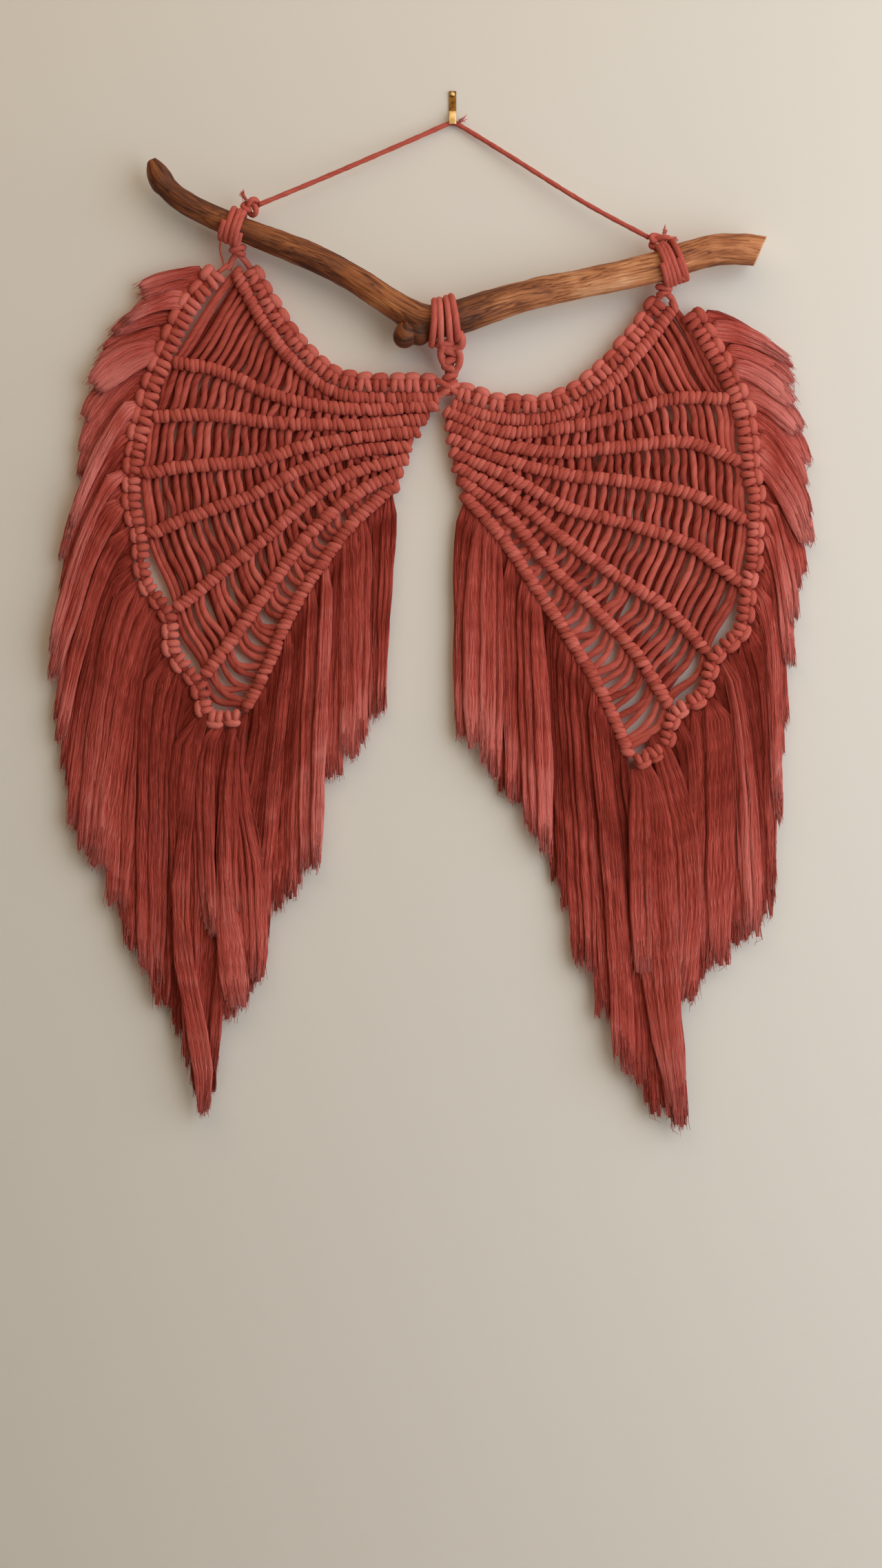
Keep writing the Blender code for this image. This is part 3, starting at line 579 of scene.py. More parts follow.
# tufts of each hem: up to which hundredth of it, and where the ends of the first and last lock hang
leftWing["outerTufts"] = [
    (4, (-226, -131), (-232, -144)), (9, (-234, -148), (-245, -162)), (14, (-247, -167), (-258, -183)),
    (20, (-257, -186), (-263, -223)), (28, (-266, -230), (-273, -286)), (35, (-275, -304), (-286, -336)),
    (41, (-280, -352), (-287, -375)), (48, (-290, -392), (-292, -420)), (61, (-290, -430), (-275, -524)),
    (70, (-272, -530), (-254, -560)), (79, (-248, -572), (-230, -620)), (87, (-224, -631), (-206, -658)),
    (93, (-204, -667), (-192, -681)), (100, (-190, -704), (-180, -735))]
leftWing["lowerTufts"] = [
    (12, (-50, -440), (-60, -440)), (26, (-66, -461), (-76, -477)), (36, (-84, -484), (-95, -490)),
    (50, (-98, -555), (-109, -556)), (64, (-113, -568), (-130, -595)), (74, (-138, -602), (-142, -632)),
    (90, (-144, -642), (-165, -668)), (100, (-171, -682), (-178, -730))]
rightWing["outerTufts"] = [
    (3, (239, -175), (240, -177)), (6, (243, -182), (245, -187)), (11, (246, -192), (248, -208)),
    (18, (249, -212), (253, -241)), (25, (252, -247), (257, -290)), (32, (256, -298), (258, -322)),
    (38, (254, -336), (250, -361)), (46, (249, -367), (243, -417)), (54, (242, -427), (238, -480)),
    (63, (238, -492), (232, -552)), (70, (232, -567), (230, -592)), (78, (222, -603), (203, -612)),
    (86, (197, -617), (176, -643)), (94, (173, -647), (156, -658)), (100, (158, -687), (168, -727))]
rightWing["lowerTufts"] = [
    (8, (0, -447), (11, -464)), (20, (14, -467), (33, -490)), (31, (36, -492), (52, -517)),
    (44, (54, -520), (72, -553)), (55, (75, -562), (87, -591)), (66, (90, -622), (103, -640)),
    (74, (105, -662), (116, -660)), (83, (118, -690), (129, -706)), (92, (132, -702), (144, -727)),
    (100, (147, -733), (166, -744))]

# big locks that hang in front, from the wings' lowest knots: x, z and half width
leftWing["frontLocks"] = [
    [(-176, -430, 2), (-185, -462, 3), (-192, -512, 4), (-197, -567, 5), (-194, -622, 5.5), (-186, -662, 6),
     (-180, -702, 6), (-180, -732, 4)],
    [(-169, -448, 3), (-177, -464, 5), (-179, -502, 5.5), (-178, -552, 5), (-175, -600, 5)],
    [(-158, -446, 2), (-162, -470, 4), (-165, -502, 4), (-167, -542, 4), (-164, -587, 7), (-160, -622, 10),
     (-156, -657, 8)],
    [(-150, -440, 2), (-155, -470, 4), (-152, -512, 6), (-145, -562, 8), (-143, -607, 8), (-143, -636, 6)]]
rightWing["frontLocks"] = [
    [(136, -470, 3), (142, -490, 7), (145, -522, 11), (147, -572, 12), (150, -622, 11), (155, -672, 9),
     (161, -712, 7), (164, -742, 5)],
    [(146, -455, 4), (156, -480, 7), (166, -522, 8), (170, -572, 8), (168, -622, 7), (164, -652, 5)]]

# and those that come straight down from the wings' points
leftWing["pointLocks"] = [
    [(-157, -450, 2.5), (-160, -466, 5), (-162, -500, 6), (-162, -545, 6), (-160, -590, 6)]]
rightWing["pointLocks"] = [
    [(132, -480, 3), (134, -494, 6), (135, -530, 8), (136, -580, 8), (138, -630, 7)]]

outerFall = {
    "reach": 4.5,           # from the hem's line to the roots
    "pitch": 10.0,
    "spread": 0.10,         # share of its length that a lock sets out from the hem
    "hang": 0.45,           # and that it hangs in line with its tip
    "rootHalf": 2.9,        # half width at the root
    "opened": 0.2,          # share of its length after which it is combed open
    "tones": (0.47, -0.06), # painted shade: at the hem's top and at its end, darker in the valley below the wing's point
}
lowerFall = {
    "reach": 2.5,
    "pitch": 8.6,
    "spread": 0.03,
    "hang": 0.6,
    "rootHalf": 2.3,
    "opened": 0.4,
    # painted shade: tone at the hem's top and at its end, darker than the outer hem's
    "tones": (0.31, -0.08),
}

fringe = {
    "wisps": 9,             # flat bundles that a lock is combed into
    "strays": 12,           # threads that lie apart on them
    "ends": 58,             # threads of its cut end
    "thread": 0.22,         # radius
    "wave": 0.5,            # how far a wisp wavers
    "waves": 0.10,          # and how often, in radians for a millimetre
    "near": 5.0,            # the layers lie between these depths
    "far": 13.5,
    "thick": 2.4,
    "rootRun": 12.0,        # before a cord is combed out
    "widest": 10.0,         # half widths of a lock
    "narrowest": 3.8,
    "layerShade": 0.5,       # painted shade: how much lighter the front layer is than the back one
    "frontLockLight": 0.34,      # painted light: how much lighter the locks in front are than the painted shade of the valley they hang in
    "frontDepths": [9.0, 11.5, 15.0, 14.0],
}


def tipAt(tufts, part):
    # where the end of a lock hangs, and which tuft it is in
    begin = 0.0
    for k, (hundredth, first, last) in enumerate(tufts):
        until = hundredth / 100
        if part <= until:
            share = (part - begin) / (until - begin)
            x, z = (a + (b - a) * share for a, b in zip(first, last))
            return spotAt(x, z), k
        begin = until
    return spotAt(*tufts[-1][2]), len(tufts) - 1


def fallLine(root, outward, tip, fall):
    # out from the hem, then down to the tip
    reach = np.linalg.norm(tip - root)
    lean = unit(np.array([(tip[0] - root[0]) * 0.45, 0, tip[2] - root[2]]))
    first = root + outward * reach * fall["spread"]
    second = tip - lean * reach * fall["hang"]
    t = np.linspace(0, 1, 24)[:, None]
    return root * (1 - t) ** 3 + first * 3 * t * (1 - t) ** 2 + second * 3 * t * t * (1 - t) + tip * t ** 3


def addLock(work, route, halves, tone, shortest=0.94, full=1.0):
    # one combed lock about a centre line: flat ridged wisps, strays along them and a brush of cut ends
    line = Line(route, smooth=False)
    grid = line.along / line.length
    count = fringe["wisps"]
    wispAcross = np.linspace(-0.8, 0.8, count) + luck.normal(0, 0.06, count)
    wispDeep = luck.uniform(-0.6, 0.6, count)
    wispCut = luck.uniform(shortest, 1.0, count)
    wispTone = tone + luck.normal(0, 0.06, count)
    wispDrift = luck.normal(0, 0.10, count)
    wispPhase = luck.uniform(0, 6.3, count)
    opening = fringe["rootRun"] * mm / line.length

    def lay(t, across, deep, phase):
        places = t * line.length
        half = np.interp(t, grid, halves)
        thick = np.interp(t, [0, opening, 0.4, 1], [1.2, 1.4, fringe["thick"], 1.9]) * mm
        wave = np.sin(places / mm * fringe["waves"] + phase) * fringe["wave"] * mm
        wave = wave * np.clip(t * 3 - 0.1, 0, 1)
        spots = line.at(places) + line.normal(places) * (across * half + wave)[:, :, None]
        spots[:, :, 1] -= np.clip(deep, -1.3, 1.3) * thick
        return spots, half

    def drift(pick, t):
        return wispAcross[pick][:, None] + wispDrift[pick][:, None] * np.sin(math.pi * t)

    run = np.linspace(0, 1, 12)
    t = run[None] * (wispCut - 1.5 * mm / line.length)[:, None]
    spots, half = lay(t, drift(np.arange(count), t), wispDeep[:, None] * 0.8, wispPhase[:, None])
    wide = np.maximum(half * 0.38, 0.8 * mm) * np.interp(run, [0, 0.88, 1], [1, 1, 0.5])
    work.sweep(spots, wide, 12, wispTone, flat=np.clip(1.15 * mm / wide, 0.22, 1.0), ridged=0.12)

    strays = round(fringe["strays"] * full)
    pick = luck.integers(0, count, strays)
    t = np.linspace(0, 1, 9)[None] * (wispCut[pick] * luck.uniform(0.55, 1.0, strays))[:, None]
    own = luck.normal(0, 0.16, (strays, 1))
    deep = wispDeep[pick][:, None] * 0.8 + 0.4
    spots, half = lay(t, drift(pick, t) + own, deep, wispPhase[pick][:, None] + own * 5)
    # painted light: strays are made lighter than their wisp, for light shining through thin fibres
    work.sweep(spots, fringe["thread"] * mm * luck.uniform(0.8, 1.2, (strays, 1)), 3,
               wispTone[pick] + luck.normal(0.2, 0.06, strays))

    ends = round(fringe["ends"] * full)
    pick = luck.integers(0, count, ends)
    past = luck.normal(0.2, 1.9, ends) * mm / line.length
    begin = wispCut[pick] - luck.uniform(6, 22, ends) * mm / line.length
    run = np.linspace(0, 1, 5)[None]
    t = begin[:, None] + run * (wispCut[pick] + past - begin)[:, None]
    own = luck.uniform(-0.36, 0.36, (ends, 1))
    splay = own * (1 + run / 2) + luck.normal(0, 0.10, (ends, 1)) * run ** 2
    deep = wispDeep[pick][:, None] * 0.8 + luck.uniform(-0.1, 0.75, (ends, 1))
    spots, half = lay(t, drift(pick, t) + splay, deep, wispPhase[pick][:, None])
    beyond = line.heading(np.full((ends, 5), line.length)) * np.maximum(t - 1, 0)[:, :, None]
    spots = spots + beyond * line.length
    radii = fringe["thread"] * mm * np.linspace(1.2, 0.6, 5)[None] * luck.uniform(0.8, 1.3, (ends, 1))
    # painted light: the cut ends are made lighter than their wisp, for light shining through thin fibres
    work.sweep(spots, radii, 3, wispTone[pick] + luck.normal(0.25, 0.08, ends))


def setDepths(route, shares, depths):
    route[:, 1] = -np.interp(np.linspace(0, 1, len(route)), shares, depths) * mm
    return route


def buildFringe(name, node, line, start, end, side, fall, tufts, frontLocks=()):
    # one lock for each cord that comes out of the hem, in tufts whose ends step along the outline
    work = CordWork()
    count = round((end - start) / (fall["pitch"] * mm))
    topTone, valleyShadeTone = fall["tones"]
    routes, picked, shades = [], [], []
    for i in range(count):
        part = (i + 0.5) / count
        place = start + (end - start) * part
        outward = line.normal(place) * side
        root = line.at(place) + outward * fall["reach"] * mm
        tip, tuft = tipAt(tufts, part)
        tip = tip + np.array([luck.normal(0, 1.0), 0, luck.normal(0, 2.5)]) * mm
        routes.append(fallLine(root, outward, tip, fall))
        picked.append(tuft)
        # painted shade: the tone falls along the hem, darkest at its end in the valley below the wing's point
        shades.append(topTone + (valleyShadeTone - topTone) * part ** 2)
    routes = np.array(routes)
    ahead = unit(np.gradient(routes, axis=1))
    square = np.stack([-ahead[..., 2], 0 * ahead[..., 0], ahead[..., 0]], axis=-1)
    gaps = np.abs((np.diff(routes, axis=0) * square[:-1]).sum(2))
    gaps = np.concatenate([gaps[:1], (gaps[:-1] + gaps[1:]) / 2, gaps[-1:]])
    # every other tuft lies further forward
    tuftLayers = luck.uniform(0, 1, len(tufts))
    tuftLayers = 0.5 + 0.17 * np.where(np.arange(len(tufts)) % 2, 1, -1) + 0.3 * (tuftLayers - 0.5)
    share = np.linspace(0, 1, routes.shape[1])
    free = np.interp(share, [0, fall["opened"], 1], [0.0, 1.0, 1.0])
    narrowest, widest = fringe["narrowest"] * mm, fringe["widest"] * mm
    for i in range(count):
        layer = np.clip(tuftLayers[picked[i]] + luck.normal(0, 0.17), 0, 1)
        depth = fringe["near"] + (fringe["far"] - fringe["near"]) * layer
        halves = np.clip(gaps[i] * 0.95, narrowest, widest) * free + fall["rootHalf"] * mm * (1 - free)
        halves = halves * np.interp(share, [0, 0.75, 1], [1, 1, 0.72])
        route = setDepths(routes[i].copy(), [0, 0.16, 1], [cord["clothDepth"], depth, depth])
        # painted shade: the locks of the back layers are darker
        addLock(work, route, halves, shades[i] + fringe["layerShade"] * (layer - 0.5))
    for spots in frontLocks:
        route = smoothRun(onWall([(x, z) for x, z, half in spots]), 6)
        route = setDepths(route, [0, 0.1, 0.5, 1], fringe["frontDepths"])
        halves = smoothRun([(half * mm,) for x, z, half in spots], 6)[:, 0]
        # painted light: the front locks are lighter than the painted shade of the valley behind them
        addLock(work, route, halves, valleyShadeTone + fringe["frontLockLight"], 0.93, 1.5)
    dress(work.make(name, combedCotton), node)


# the outer hem, then the lower one under the last rib
for word, wing in (("left", leftWing), ("right", rightWing)):
    edge = edgeLine(wing)
    last, end = wingRibs(wing)[-1]
    buildFringe(f"outer_combed_{word}", f"outer_fringe_{word}", edge, 7 * mm, edge.length - 2 * mm,
                wing["side"], outerFall, wing["outerTufts"], wing["frontLocks"])
    buildFringe(f"lower_combed_{word}", f"lower_fringe_{word}", last, 2 * mm, end, -wing["side"],
                lowerFall, wing["lowerTufts"], wing["pointLocks"])
print("fringes are combed")


# branch

branch = {
    "depth": 19.8,          # of its middle, in front of the wall
    "stations": [           # x, z and radius
        (-218, -40, 3.0), (-213, -53, 8.0), (-203, -64.5, 8.5), (-186, -76, 9.0), (-164, -86, 9.0),
        (-141, -95, 9.5), (-117, -104, 10.2), (-93, -114, 10.7), (-72, -126, 10.4), (-53, -138, 10.2),
        (-37, -149, 10.6), (-21, -158, 12.4), (-3, -156.5, 13.4), (16, -150, 13.2), (37, -142.5, 12.6),
        (62, -136, 11.5), (92, -130, 11.2), (122, -124, 11.6), (147, -118.5, 11.8), (169, -111, 12.0),
        (187, -105, 12.4), (204, -104.5, 12.2), (222, -106.5, 12.0)],
    "sawnAt": (222, -106.5),
    "sawnFacing": (0.917, -0.399),
    "lumps": 2.2,           # how far its knots and hollows stand off the round
    "grooves": 0.8,
    "knobs": [              # the sawn stub below the bend and its shoulder: x, z, depth, half sizes and lean
        (-33.8, -167.0, 22.5, (9.2, 9.6, 10.6), 35),
        (-24.5, -164.5, 20.5, (10.2, 10.8, 10.4), 0)],
    "tip": 24.0,            # the left end is blunt over this length
    "tipSwell": 0.45,       # its swelling, as a share of its radius
    "grain": (55.0, 9.0),   # millimetres along and streaks around, for one unit of the grain map
}
branchSpots = onWall([(x, z) for x, z, radius in branch["stations"]], branch["depth"])
branchLine = Line(branchSpots)
branchAlongs = np.array([branchLine.along[branchLine.placeOf(spot)] for spot in branchSpots])
branchRadii = np.array([radius * mm for x, z, radius in branch["stations"]])


def nearBranch(x):
    return branchLine.along[np.abs(branchLine.spots[:, 0] - x * mm).argmin()]


def chooseOnly(made):
    bpy.ops.object.select_all(action="DESELECT")
    made.select_set(True)
    bpy.context.view_layer.objects.active = made


wood = {
    "brown": list(zip((0.15, 0.4, 0.6, 0.85), linear("32170A", "653418", "90532A", "B67A48"))),
    "pale": list(zip((0.12, 0.38, 0.58, 0.85), linear("5C3018", "9C5E38", "C8885A", "ECC29A"))),
    "bleached": (-0.03, 0.17),      # x in metres, from the brown arm to the bleached one
    "sawn": linear("CFA27A")[0],
    "streaks": (0.5, 0.7),          # fine and broad ones
    "patches": 0.9,
    "crack": 0.035,                 # width, as a share of the noise
    "gape": 0.26,                   # how dark a crack is
    "bump": 0.6,
}


def blend(tree, factor, first, second):
    # two colours; the second may be a constant one
    mix = addNode(tree, "ShaderNodeMix", data_type="RGBA")
    tree.links.new(factor, mix.inputs["Factor"])
    tree.links.new(first, mix.inputs["A"])
    if isinstance(second, tuple):
        mix.inputs["B"].default_value = (*second, 1)
    else:
        tree.links.new(second, mix.inputs["B"])
    return mix.outputs["Result"]


def woodFinish():
    made, tree, shader = newFinish("weatheredWood")
    grain = addNode(tree, "ShaderNodeUVMap", uv_map="grain")
    split = addNode(tree, "ShaderNodeSeparateXYZ")
    tree.links.new(grain.outputs[0], split.inputs[0])
    along, around = split.outputs[0], split.outputs[1]
    fine = stripes(tree, along, around, 3.2, 5.0, 4.0, 0.3)
    broad = stripes(tree, along, around, 1.3, 1.0, 5.0, 0.8)
    parting = stripes(tree, along, around, 1.0, 1.7, 3.0, 0.7)
    place = addNode(tree, "ShaderNodeTexCoord")
    where = addNode(tree, "ShaderNodeSeparateXYZ")
    tree.links.new(place.outputs["Object"], where.inputs[0])
    patchy = addNode(tree, "ShaderNodeTexNoise", Scale=22.0, Detail=4.0)
    tree.links.new(place.outputs["Object"], patchy.inputs["Vector"])
    # a crack runs where the drawn-out noise passes its middle
    apart = mathNode(tree, "ABSOLUTE", mathNode(tree, "SUBTRACT", parting, 0.5))
    crack = fromTo(tree, apart, 0.0, wood["crack"])
    gape = mathNode(tree, "MULTIPLY_ADD", crack, wood["gape"], -wood["gape"])
    fineShare, broadShare = wood["streaks"]
    streaks = mathNode(tree, "MULTIPLY_ADD", fine, fineShare, mathNode(tree, "MULTIPLY", broad, broadShare))
    patches = mathNode(tree, "MULTIPLY_ADD", patchy.outputs["Fac"], wood["patches"], -0.55)
    shade = mathNode(tree, "ADD", mathNode(tree, "ADD", streaks, patches), gape)
    # the left arm is browner, the right arm bleached
    bleach = fromTo(tree, where.outputs[0], *wood["bleached"])
    colour = blend(tree, bleach, fade(tree, shade, wood["brown"]), fade(tree, shade, wood["pale"]))
    # the sawn end is paler still
    reaches = [mathNode(tree, "MULTIPLY_ADD", where.outputs[axis], facing, -spot * mm * facing)
               for axis, spot, facing in zip((0, 2), branch["sawnAt"], branch["sawnFacing"])]
    sawn = mathNode(tree, "GREATER_THAN", mathNode(tree, "ADD", *reaches), -0.0007)
    tree.links.new(blend(tree, sawn, colour, wood["sawn"]), shader.inputs["Base Color"])
    bump = addNode(tree, "ShaderNodeBump", Strength=wood["bump"], Distance=0.0009)
    tree.links.new(shade, bump.inputs["Height"])
    tree.links.new(bump.outputs[0], shader.inputs["Normal"])
    shader.inputs["Roughness"].default_value = 0.62
    shader.inputs["Specular IOR Level"].default_value = 0.35
    return made


def offBranch(mesh):
    # each point, how far along the branch's middle line it is, and which way off that line
    spots = np.empty(len(mesh.vertices) * 3)
    mesh.vertices.foreach_get("co", spots)
    spots = spots.reshape(-1, 3)
    nearest = np.array([branchLine.placeOf(spot) for spot in spots])
    return spots, branchLine.along[nearest], spots - branchLine.spots[nearest]


def swellTip(made):
    spots, along, off = offBranch(made.data)
    swell = branch["tipSwell"] * np.clip(1 - along / (branch["tip"] * mm), 0, 1) ** 0.7
    made.data.vertices.foreach_set("co", (spots + off * swell[:, None]).reshape(-1))


def mapGrain(made):
    # along the branch and around it, the seam toward the wall
    mesh = made.data
    spots, along, off = offBranch(mesh)
    up = branchLine.normal(along)
    around = np.arctan2((off * up).sum(1), -off[:, 1]) / (2 * math.pi) + 0.5
    corners = np.empty(len(mesh.loops), np.int32)
    mesh.loops.foreach_get("vertex_index", corners)
    turn = around[corners]
    for face in mesh.polygons:
        part = slice(face.loop_start, face.loop_start + face.loop_total)
        if turn[part].max() - turn[part].min() > 0.5:
            turn[part] = np.where(turn[part] < 0.5, turn[part] + 1, turn[part])
    unitAlong, unitsAround = branch["grain"]
    layer = mesh.uv_layers.new(name="grain")
    grain = np.stack([along[corners] / mm / unitAlong, turn * unitsAround], 1)
    layer.data.foreach_set("uv", grain.reshape(-1))
    mesh.uv_layers.active = layer


def displace(name, noise, scale, hard, coords):
    texture = bpy.data.textures.new(name, "CLOUDS")
    texture.noise_scale = scale
    texture.noise_type = "HARD_NOISE" if hard else "SOFT_NOISE"
    lift = bpy.context.object.modifiers.new(name, "DISPLACE")
    lift.texture = texture
    lift.texture_coords = coords
    lift.strength = noise * mm
    lift.mid_level = 0.62 if hard else 0.45
    bpy.ops.object.modifier_apply(modifier=name)


def applyAll():
    bpy.ops.object.transform_apply(location=True, rotation=True, scale=True)


def addKnob(made, x, z, depth, halves, lean):
    # a lump grown together with the branch: a ball drawn out, then joined to it
    bpy.ops.object.select_all(action="DESELECT")
    bpy.ops.mesh.primitive_uv_sphere_add(segments=40, ring_count=24, radius=mm,
                                         location=spotAt(x, z, depth), rotation=(0, math.radians(lean), 0))
    knob = bpy.context.object
    knob.scale = halves
    knob.data.materials.append(made.data.materials[0])
    applyAll()
    bpy.ops.object.shade_smooth()
    made.select_set(True)
    bpy.context.view_layer.objects.active = made
    bpy.ops.object.join()


def buildBranch():
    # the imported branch, merged, rounded and weathered
    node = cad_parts["branch"]
    made = bpy.data.objects.new("driftwood_branch", node.data.copy())
    bpy.context.scene.collection.objects.link(made)
    made.matrix_world = node.matrix_world
    chooseOnly(made)
    applyAll()
    bpy.ops.object.mode_set(mode="EDIT")
    bpy.ops.mesh.select_all(action="SELECT")
    bpy.ops.mesh.remove_doubles(threshold=0.00005)
    bpy.ops.mesh.mark_sharp(clear=True)
    bpy.ops.mesh.tris_convert_to_quads(face_threshold=math.radians(50), shape_threshold=math.radians(70))
    bpy.ops.object.mode_set(mode="OBJECT")
    made.data.materials.clear()
    made.data.materials.append(woodFinish())
    # the rim of the sawn end stays sharp
    facing = np.array([branch["sawnFacing"][0], 0, branch["sawnFacing"][1]])
    end = spotAt(*branch["sawnAt"], branch["depth"])
    rim = [abs((np.array(vertex.co) - end).dot(facing)) < 0.0006 for vertex in made.data.vertices]
    sharp = [float(rim[a] and rim[b]) for a, b in (edge.vertices for edge in made.data.edges)]
    made.data.attributes.new("crease_edge", "FLOAT", "EDGE").data.foreach_set("value", sharp)
    bpy.ops.object.shade_smooth()
    made.modifiers.new("round", "SUBSURF").levels = 3
    bpy.ops.object.modifier_apply(modifier="round")
    swellTip(made)
    for knob in branch["knobs"]:
        addKnob(made, *knob)
    mapGrain(made)
    displace("lumps", branch["lumps"], 0.03, False, "LOCAL")
    displace("grooves", branch["grooves"], 0.55, True, "UV")
    bpy.ops.object.shade_smooth_by_angle(angle=math.radians(50))
    dress(made, "branch", slot="driftwood")


buildBranch()
print("branch is weathered")


# ties, loop and hanging cord

wound = {
    "clear": 0.2,           # between a cord and the branch
    "tones": (0.45, 0.65),
}


def aroundBranch(alongs, angles, radius):
    # places on a ring or helix about the branch: angle 0 is its upper side, a quarter turn its front
    middles = branchLine.at(alongs)
    ups = branchLine.normal(alongs)
    reach = np.interp(alongs, branchAlongs, branchRadii) + (radius + wound["clear"]) * mm
    return middles + (ups * np.cos(angles)[:, None] + offWall * np.sin(angles)[:, None]) * reach[:, None]


def carried(work, route, radii, sides, tone):
    # a cord that turns every way keeps its own upright from point to point
    ahead = unit(np.gradient(route, axis=0))
    across = np.zeros_like(route)
    across[0] = unit(np.cross(ahead[0], (0.3, 0.9, 0.1)))
    for i in range(1, len(route)):
        across[i] = unit(across[i - 1] - ahead[i] * across[i - 1].dot(ahead[i]))
    work.sweep(route, radii, sides, tone, np.cross(across, ahead))


def addWinding(work, fromX, toX, turns, radius):
    # one cord wound round the branch, its ends behind it
    angles = np.linspace(-1.5 * math.pi, 2 * math.pi * (turns - 0.5), 26 * turns)
    alongs = np.interp(angles, [angles[0], angles[-1]], [nearBranch(fromX), nearBranch(toX)])
    alongs = alongs + np.interp(angles, np.linspace(angles[0], angles[-1], 9), luck.normal(0, 0.35, 9)) * mm
    carried(work, aroundBranch(alongs, angles, radius), radius * mm, 9, luck.uniform(*wound["tones"]))


def addRun(work, spots, radius, tone=None, sides=9):
    # a cord through a few places, given as x, z and depth
    route = smoothRun([spotAt(*spot) for spot in spots], 8)
    carried(work, route, radius * mm, sides, luck.uniform(0.4, 0.7) if tone is None else tone)


def addOverhand(work, x, z, depth, size, turn, radius, wide=1.0, tall=1.0):
    # a tight overhand knot
    t = np.linspace(0.12, 2 * math.pi - 0.12, 64)
    across = np.sin(t) + 2 * np.sin(2 * t)
    up = np.cos(t) - 2 * np.cos(2 * t)
    out = -1.15 * np.sin(3 * t)
    c, s = math.cos(turn), math.sin(turn)
    around = np.stack([(across * c - up * s) * wide, -out, (across * s + up * c) * tall], 1)
    route = spotAt(x, z, depth) + around * size * mm
    carried(work, route, radius * mm, 9, 0.55)


def addFray(work, x, z, depth, towards, count, length, spread=0.35):
    # a cut end, its threads opening out
    heading = unit(np.array([towards[0], -0.15, towards[1]]))
    t = np.linspace(0, 1, 6)[None, :, None]
    fan = unit(heading + luck.normal(0, spread, (count, 3)))[:, None]
    start = spotAt(x, z, depth) + luck.normal(0, 0.6 * mm, (count, 1, 3))
    run = (heading * t * (1 - t * 0.5) + fan * t * t * 0.6) * length * mm
    work.sweep(start + run * luck.uniform(0.6, 1, (count, 1, 1)), 0.3 * mm, 3, luck.uniform(0.6, 1, count))


def addRing(work, x, z, depth, wide, deep, radius, lean=0.0, tone=None):
    # a turn of cord that gathers others: level but for its lean
    angles = turnsOf(16)
    route = np.stack([np.cos(angles) * wide, -np.sin(angles) * deep, np.cos(angles) * lean], 1) * mm
    tone = luck.uniform(*wound["tones"]) if tone is None else tone
    work.sweep(spotAt(x, z, depth) + route, radius * mm, 8, tone, (0, 0, 1), closed=True)


def buildTies():
    work = CordWork()
    addWinding(work, -164.5, -152, 3, 2.4)
    addOverhand(work, -145.5, -74.5, 20, 2.0, 0.4, 2.0)
    addFray(work, -149, -70, 22, (-0.5, 1), 26, 7)
    addRing(work, -155.5, -104, 16.5, 4.3, 3.6, 2.4, lean=1.0)
    addRing(work, -155, -107, 14.5, 3.6, 3.2, 2.1, lean=-0.8)
    addRun(work, [(-160, -97, 26), (-157, -102, 20), (-155.5, -106, 15), (-151, -111, 11),
                  (-146.5, -117, 9)], 2.3)
    addRun(work, [(-153, -95, 28), (-155, -101, 21), (-156.5, -106, 14), (-160, -111, 10),
                  (-163, -118, 9)], 2.3)
    addRun(work, [(-166, -97, 26), (-168, -104, 20), (-167, -110, 13), (-165.5, -116, 11)], 0.7, sides=6)
    addRing(work, -166.5, -117, 9.5, 3.3, 1.0, 1.7, lean=2.6)
    dress(work.make("tie_cords_left", knottedCotton), "tie_left")

    work = CordWork()
    addWinding(work, 150.5, 158.5, 3, 2.3)
    addWinding(work, 161, 164.5, 1, 2.3)
    addOverhand(work, 149, -99.5, 21, 2.1, -0.5, 2.2, 1.35, 0.75)
    addFray(work, 152, -95, 21, (0.3, 1), 20, 6)
    addFray(work, 156, -98, 22, (1, 0.15), 20, 6)
    addRing(work, 152.5, -132.5, 17, 4.2, 3.6, 2.3, lean=-1.0)
    addRing(work, 152.5, -136, 15, 3.6, 3.2, 2.1, lean=0.8)
    addRun(work, [(156, -128, 26), (154, -132, 20), (152, -136, 14), (148, -140, 10), (146, -146, 9)], 2.3)
    addRun(work, [(166, -126, 27), (158, -130, 21), (155, -135, 14), (159, -139, 10), (162, -146, 9)], 2.3)
    dress(work.make("tie_cords_right", knottedCotton), "tie_right")


